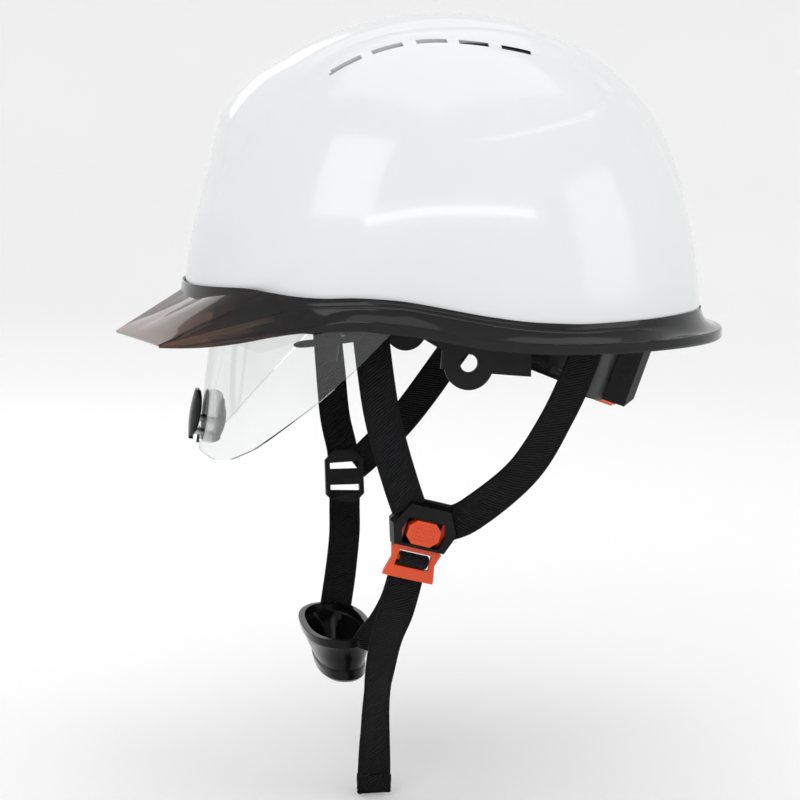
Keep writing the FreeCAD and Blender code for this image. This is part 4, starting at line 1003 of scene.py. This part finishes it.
def crown_point(place, turn):
    """A point of the webbing arch that crosses the head at one place, and the way its face looks there."""
    def half_at(x):
        return float(83.5 * (1 - (abs(x) / (110.5 if x > 0 else 101.0)) ** PLAN) ** (1 / PLAN))

    slope = (half_at(place + 1) - half_at(place - 1)) / 2
    level = 22.4 - (8.2 if place < 0 else 7.4) * place / 140
    rise = 118.0 if abs(place) < 20 else 112.0
    arch = math.sin(turn)
    point = np.array([place * (1 - 0.65 * arch), -half_at(place) * math.cos(turn),
                      level + (rise - level) * arch ** 0.88])
    return point, (-slope * abs(math.cos(turn)), -math.cos(turn), arch + 0.05)


def build_crown_straps():
    for name, place in (("front", -64.0), ("middle", 4.0), ("rear", 72.0)):
        turns = np.linspace(0, math.pi, 97)
        dense = np.array([crown_point(place, t)[0] for t in turns])
        run = np.concatenate([[0], np.cumsum(np.linalg.norm(np.diff(dense, axis=0), axis=1))])
        even = np.interp(np.linspace(0, run[-1], 33), run, turns)
        route, normals = zip(*[crown_point(place, t) for t in even])
        label = "crown_strap_" + name
        web_piece("web_" + label, route, "helmet", [label], normals=normals, width=19.0, wall=1.4, wave=0.15)


build_crown_straps()


# ---------------------------------------------------------------- pads
def swell(piece, cap, voxel=1.6, pressure=4.0):
    """Let a pad fill under its own pressure, hold each point within the cap, and keep the result."""
    even = piece.modifiers.new("even", "REMESH")
    even.mode = "VOXEL"
    even.voxel_size = voxel * MM
    apply_modifiers(piece)
    start = np.array([v.co for v in piece.data.vertices])
    cloth = piece.modifiers.new("swell", "CLOTH")
    cloth.settings.quality = 6
    cloth.settings.mass = 0.15
    cloth.settings.use_pressure = True
    cloth.settings.uniform_pressure_force = pressure
    cloth.settings.effector_weights.gravity = 0
    cloth.point_cache.frame_start = 1
    cloth.point_cache.frame_end = 20
    for moment in range(1, 21):
        bpy.context.scene.frame_set(moment)
    apply_modifiers(piece)
    bpy.context.scene.frame_set(1)
    moved = np.array([v.co for v in piece.data.vertices]) - start
    far = np.linalg.norm(moved, axis=1)
    moved *= np.minimum(1, cap * MM / np.maximum(far, 1e-9))[:, None]
    piece.data.vertices.foreach_set("co", (start + moved).astype(np.float32).ravel())
    finer = piece.modifiers.new("finer", "SUBSURF")
    finer.levels = finer.render_levels = 1
    apply_modifiers(piece)
    smooth_by_angle(piece.data, 60)
    piece.data.materials.clear()
    piece.data.materials.append(KNIT)
    return piece


def pad_section(base, outward, upward, thick, tall):
    """Rounded section of a pad that is sewn flat along its two long edges."""
    section = []
    for k in range(24):
        a = 2 * math.pi * k / 24
        w = signed_power(math.cos(a), 0.8)
        h = signed_power(math.sin(a), 0.55)
        section.append(base + outward * (w * thick / 2) + upward * (h * tall / 2))
    return section


def build_pads():
    sections = []
    for k in range(121):
        turn = math.pi + (k / 120 - 0.5) * 2.1
        x, y = (float(v) for v in oval(turn, 92.5, 84.0, 76.0, power=2.15))
        ahead = [float(v) for v in oval(turn + 0.01, 92.5, 84.0, 76.0, power=2.15)]
        along = np.array([ahead[0] - x, ahead[1] - y, 0])
        outward = np.array([-along[1], along[0], 0]) / -np.linalg.norm(along)
        level = 10.0 - 15.5 * x / 140
        end = min(k, 120 - k)
        tall = 17.0 * (1 - 0.5 * max(0, 1 - end / 8) ** 2)
        pleat = 0.3 * math.cos(k * math.pi / 6)
        sections.append(pad_section(np.array([x, y, level]), outward, np.array([0, 0, 1.0]),
                                    2.8 + pleat, tall))
    points, faces = skin(sections)
    band = add_piece("padded_sweatband", points, faces, KNIT, "helmet", ["sweatband"], sharp=60)
    swell(band, 0.7)
    tilt = math.radians(20)
    up = np.array([math.sin(tilt), 0, math.cos(tilt)])
    rearward = np.array([math.cos(tilt), 0, -math.sin(tilt)])
    sections = []
    for k in range(71):
        turn = math.radians(-48 + 96 * k / 70)
        outward = rearward * math.cos(turn) + np.array([0, math.sin(turn), 0])
        base = np.array([89.0, 0, -18.0]) - rearward * 88.0 + outward * 74.8
        end = min(k, 70 - k)
        tall = 28.0 * (1 - 0.45 * max(0, 1 - end / 9) ** 2)
        pleat = 0.3 * math.cos(k * math.pi / 7)
        sections.append(pad_section(base, outward, up, 2.6 + pleat, tall))
    points, faces = skin(sections)
    pad = add_piece("padded_nape", points, faces, KNIT, "helmet", ["nape_pad"], sharp=60)
    swell(pad, 0.6)


build_pads()


# ---------------------------------------------------------------- headband
def build_headband():
    """The moulded headband, cut higher in front so that it stays behind the brim at the temples."""
    band = bpy.data.objects.new("trimmed_headband", NODES["headband"].data.copy())
    bpy.context.scene.collection.objects.link(band)
    outline = [(-140, -60), (-19, -60), (-14, 1), (-24, 7), (-140, 7)]
    points = [(x, y, z) for y in (-120, 120) for x, z in outline]
    faces = [tuple(range(5)), tuple(range(9, 4, -1))]
    faces += [(k, 5 + k, 5 + (k + 1) % 5, (k + 1) % 5) for k in range(5)]
    mesh = bpy.data.meshes.new("front_cut")
    mesh.from_pydata([tuple(c * MM for c in p) for p in points], [], faces)
    tidy = bmesh.new()
    tidy.from_mesh(mesh)
    bmesh.ops.recalc_face_normals(tidy, faces=tidy.faces)
    tidy.to_mesh(mesh)
    tidy.free()
    cutter = bpy.data.objects.new("front_cut", mesh)
    bpy.context.scene.collection.objects.link(cutter)
    cut = band.modifiers.new("cut", "BOOLEAN")
    cut.operation = "DIFFERENCE"
    cut.solver = "EXACT"
    cut.object = cutter
    apply_modifiers(band)
    bpy.data.objects.remove(cutter)
    bpy.data.meshes.remove(mesh)
    smooth_by_angle(band.data, 30)
    band.data.materials.clear()
    band.data.materials.append(MATTE)
    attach(band, "helmet")
    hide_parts("headband")


build_headband()


# ---------------------------------------------------------------- chin cup
CUP_RINGS = [(0.0, 16.6, 37.6), (0.5, 17.0, 38.0), (4.6, 16.6, 37.4), (5.2, 15.9, 36.7), (12.0, 14.0, 34.0),
             (19.6, 11.5, 30.1), (20.2, 12.2, 30.8), (25.0, 11.6, 30.0), (26.6, 10.0, 28.0), (27.0, 7.0, 20.0),
             (27.0, 0.4, 1.2)]


def build_cup():
    """Moulded cup: a stepped bowl with a rolled lip, narrow from front to back."""
    outside, inside = [], []
    for level, reach, half in CUP_RINGS:
        depth = level * 0.87
        centre = -51.5 + 2.5 * depth / 27
        for rings, inset in ((outside, 0.0), (inside, 3.0)):
            deep = depth if inset == 0 else min(depth, 20.4)
            ring = []
            for k in range(96):
                a = 2 * math.pi * k / 96
                near = max(reach - inset, 0.2)
                x, y = oval(a, near, near, max(half - inset, 0.6), centre, 2.4)
                ring.append((float(x), float(y), -140.2 - deep))
            rings.append(ring)
    points, faces = skin(outside[::-1] + inside)
    cup = add_piece("moulded_chin_cup", points, faces, GLOSS, "chin_piece", ["chin_cup"], sharp=34)
    soften(cup, 0.35, 34)


build_cup()


# ---------------------------------------------------------------- small pieces of the buckle
def buckle_frame():
    """Middle of the buckle, its upward direction and the direction away from the cheek."""
    up = unit(np.array([0.25, -0.187, 0.95]))
    out = np.array([-0.0476, -0.9822, -0.1808])
    out = unit(out - up * float(out @ up))
    return np.array([-20.3, -70.5, -79.5]), up, out


def build_tongue_loop():
    """The tape comes up behind the tongue's lower bar, turns over its middle bar and goes down again."""
    centre, up, out = buckle_frame()
    profile = [(-27.4, -4.6), (-23.0, -3.9), (-20.6, -2.0), (-19.9, 0.2), (-18.8, 1.15), (-17.2, 1.35),
               (-15.9, 0.9), (-15.2, -0.6), (-15.6, -3.0), (-18.2, -4.2), (-22.5, -5.6), (-27.4, -6.4)]
    route = [tuple(centre + up * v + out * o) for v, o in profile]
    normals = []
    for k in range(len(profile)):
        a, b = np.array(profile[max(k - 1, 0)]), np.array(profile[min(k + 1, len(profile) - 1)])
        step = unit(b - a)
        normals.append(tuple(out * step[0] - up * step[1]))
    web_piece("web_tongue_loop", route, "chin_piece", normals=normals, width=13.6, wall=1.2, wave=0)


build_tongue_loop()


def build_button_spring():
    """Cone-shaped coil under the button, built at rest; the real coil goes flat as the button is pressed."""
    centre, up, out = buckle_frame()
    side = np.cross(up, out)
    sections = []
    for k in range(97):
        t = k / 96
        turn = 2 * math.pi * 3 * t
        radius = 2.75 - 1.3 * t
        away = side * math.cos(turn) + up * math.sin(turn)
        middle = centre + up * -2.6 + away * radius + out * (-1.75 + 1.5 * t)
        sections.append([middle + away * (0.2 * math.cos(a)) + out * (0.2 * math.sin(a))
                         for a in np.linspace(0, 2 * math.pi, 10, endpoint=False)])
    points, faces = skin(sections)
    coil = add_piece("coiled_button_spring", points, faces, STEEL, "helmet", ["button_spring"],
                     sharp=60)
    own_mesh(coil)


build_button_spring()


# ---------------------------------------------------------------- moulded pieces that keep their CAD shape
def dress_nodes():
    """Material, merged flat faces and softened edges for every CAD piece that is still shown."""
    looks = {"black_gloss": GLOSS, "black_matte": MATTE, "orange": ORANGE, "steel": STEEL}
    for part in frame["record"]["subparts"]:
        node = NODES[part["node"]]
        if node.hide_render:
            continue
        holder = node.material_slots[0]
        holder.link = "OBJECT"
        holder.material = looks[part["material_slot"]]
        merge = node.modifiers.new("merge", "DECIMATE")
        merge.decimate_type = "DISSOLVE"
        merge.angle_limit = math.radians(1.0)
        small = min(node.dimensions) / MM
        soften(node, min(0.3, small * 0.08), 32)


dress_nodes()


# ---------------------------------------------------------------- studio
def build_studio():
    """A pale bowl to stand in and broad soft lights."""
    floor_level = cad_box[0][2] - 0.0015
    sections = []
    for radius, height in ((0.0, 0), (0.8, 0), (1.5, 0), (1.9, 0.05), (2.2, 0.22), (2.42, 0.55), (2.55, 1.0),
                           (2.6, 2.2)):
        sections.append([(radius * math.cos(a) * 1000, radius * math.sin(a) * 1000,
                          (floor_level + height) * 1000)
                         for a in np.linspace(0, 2 * math.pi, 96, endpoint=False)])
    points = [p for section in sections for p in section]
    look = Look("studio_paper", (0.93, 0.93, 0.93), 0.9)
    look.tint(noise(look, 3, 3), (0.96, 0.96, 0.96), (0.97, 0.97, 0.97))
    look.bump(noise(look, 700, 3), 0.05, 0.0002)
    floor = add_piece("studio_floor", points, grid_faces(len(sections), 96, wrap_columns=True), look.material,
                      None, sharp=80)
    world = bpy.data.worlds.new("studio_air")
    world.use_nodes = True
    world.node_tree.nodes["Background"].inputs["Color"].default_value = (1, 1, 1, 1)
    world.node_tree.nodes["Background"].inputs["Strength"].default_value = 0.8
    bpy.context.scene.world = world
    lamps = [("key", (-0.9, -1.1, 1.15), (0.9, 0.9), 4), ("top", (0.1, 0.1, 1.6), (1.5, 1.5), 5),
             ("fill", (1.3, -0.9, 0.5), (0.8, 0.9), 2), ("rim", (-0.6, 1.3, 0.8), (1.0, 0.6), 2.5),
             ("strip", (0.0, -1.5, 0.75), (1.5, 0.08), 1.5)]
    for name, place, (wide, tall), power in lamps:
        data = bpy.data.lights.new(name, "AREA")
        data.shape = "RECTANGLE"
        data.size, data.size_y, data.energy = wide, tall, power
        lamp = bpy.data.objects.new(name, data)
        lamp.location = place
        lamp.rotation_euler = (Vector((0, 0, 0.02)) - Vector(place)).to_track_quat("-Z", "Y").to_euler()
        bpy.context.scene.collection.objects.link(lamp)
    bpy.context.scene.view_settings.view_transform = "Standard"


def build_camera():
    """From the wearer's left, a little ahead of the side and a little above."""
    azimuth, elevation = math.radians(-10), math.radians(8)
    target, distance = Vector((-0.019, 0, -0.032)), 0.9
    back = Vector((math.sin(azimuth) * math.cos(elevation), -math.cos(azimuth) * math.cos(elevation),
                   math.sin(elevation)))
    data = bpy.data.cameras.new("camera")
    data.lens = 83.5
    data.sensor_width = 36
    camera = bpy.data.objects.new("camera", data)
    camera.location = target + back * distance
    camera.rotation_euler = back.to_track_quat("Z", "Y").to_euler()
    bpy.context.scene.collection.objects.link(camera)
    bpy.context.scene.camera = camera


build_studio()
build_camera()
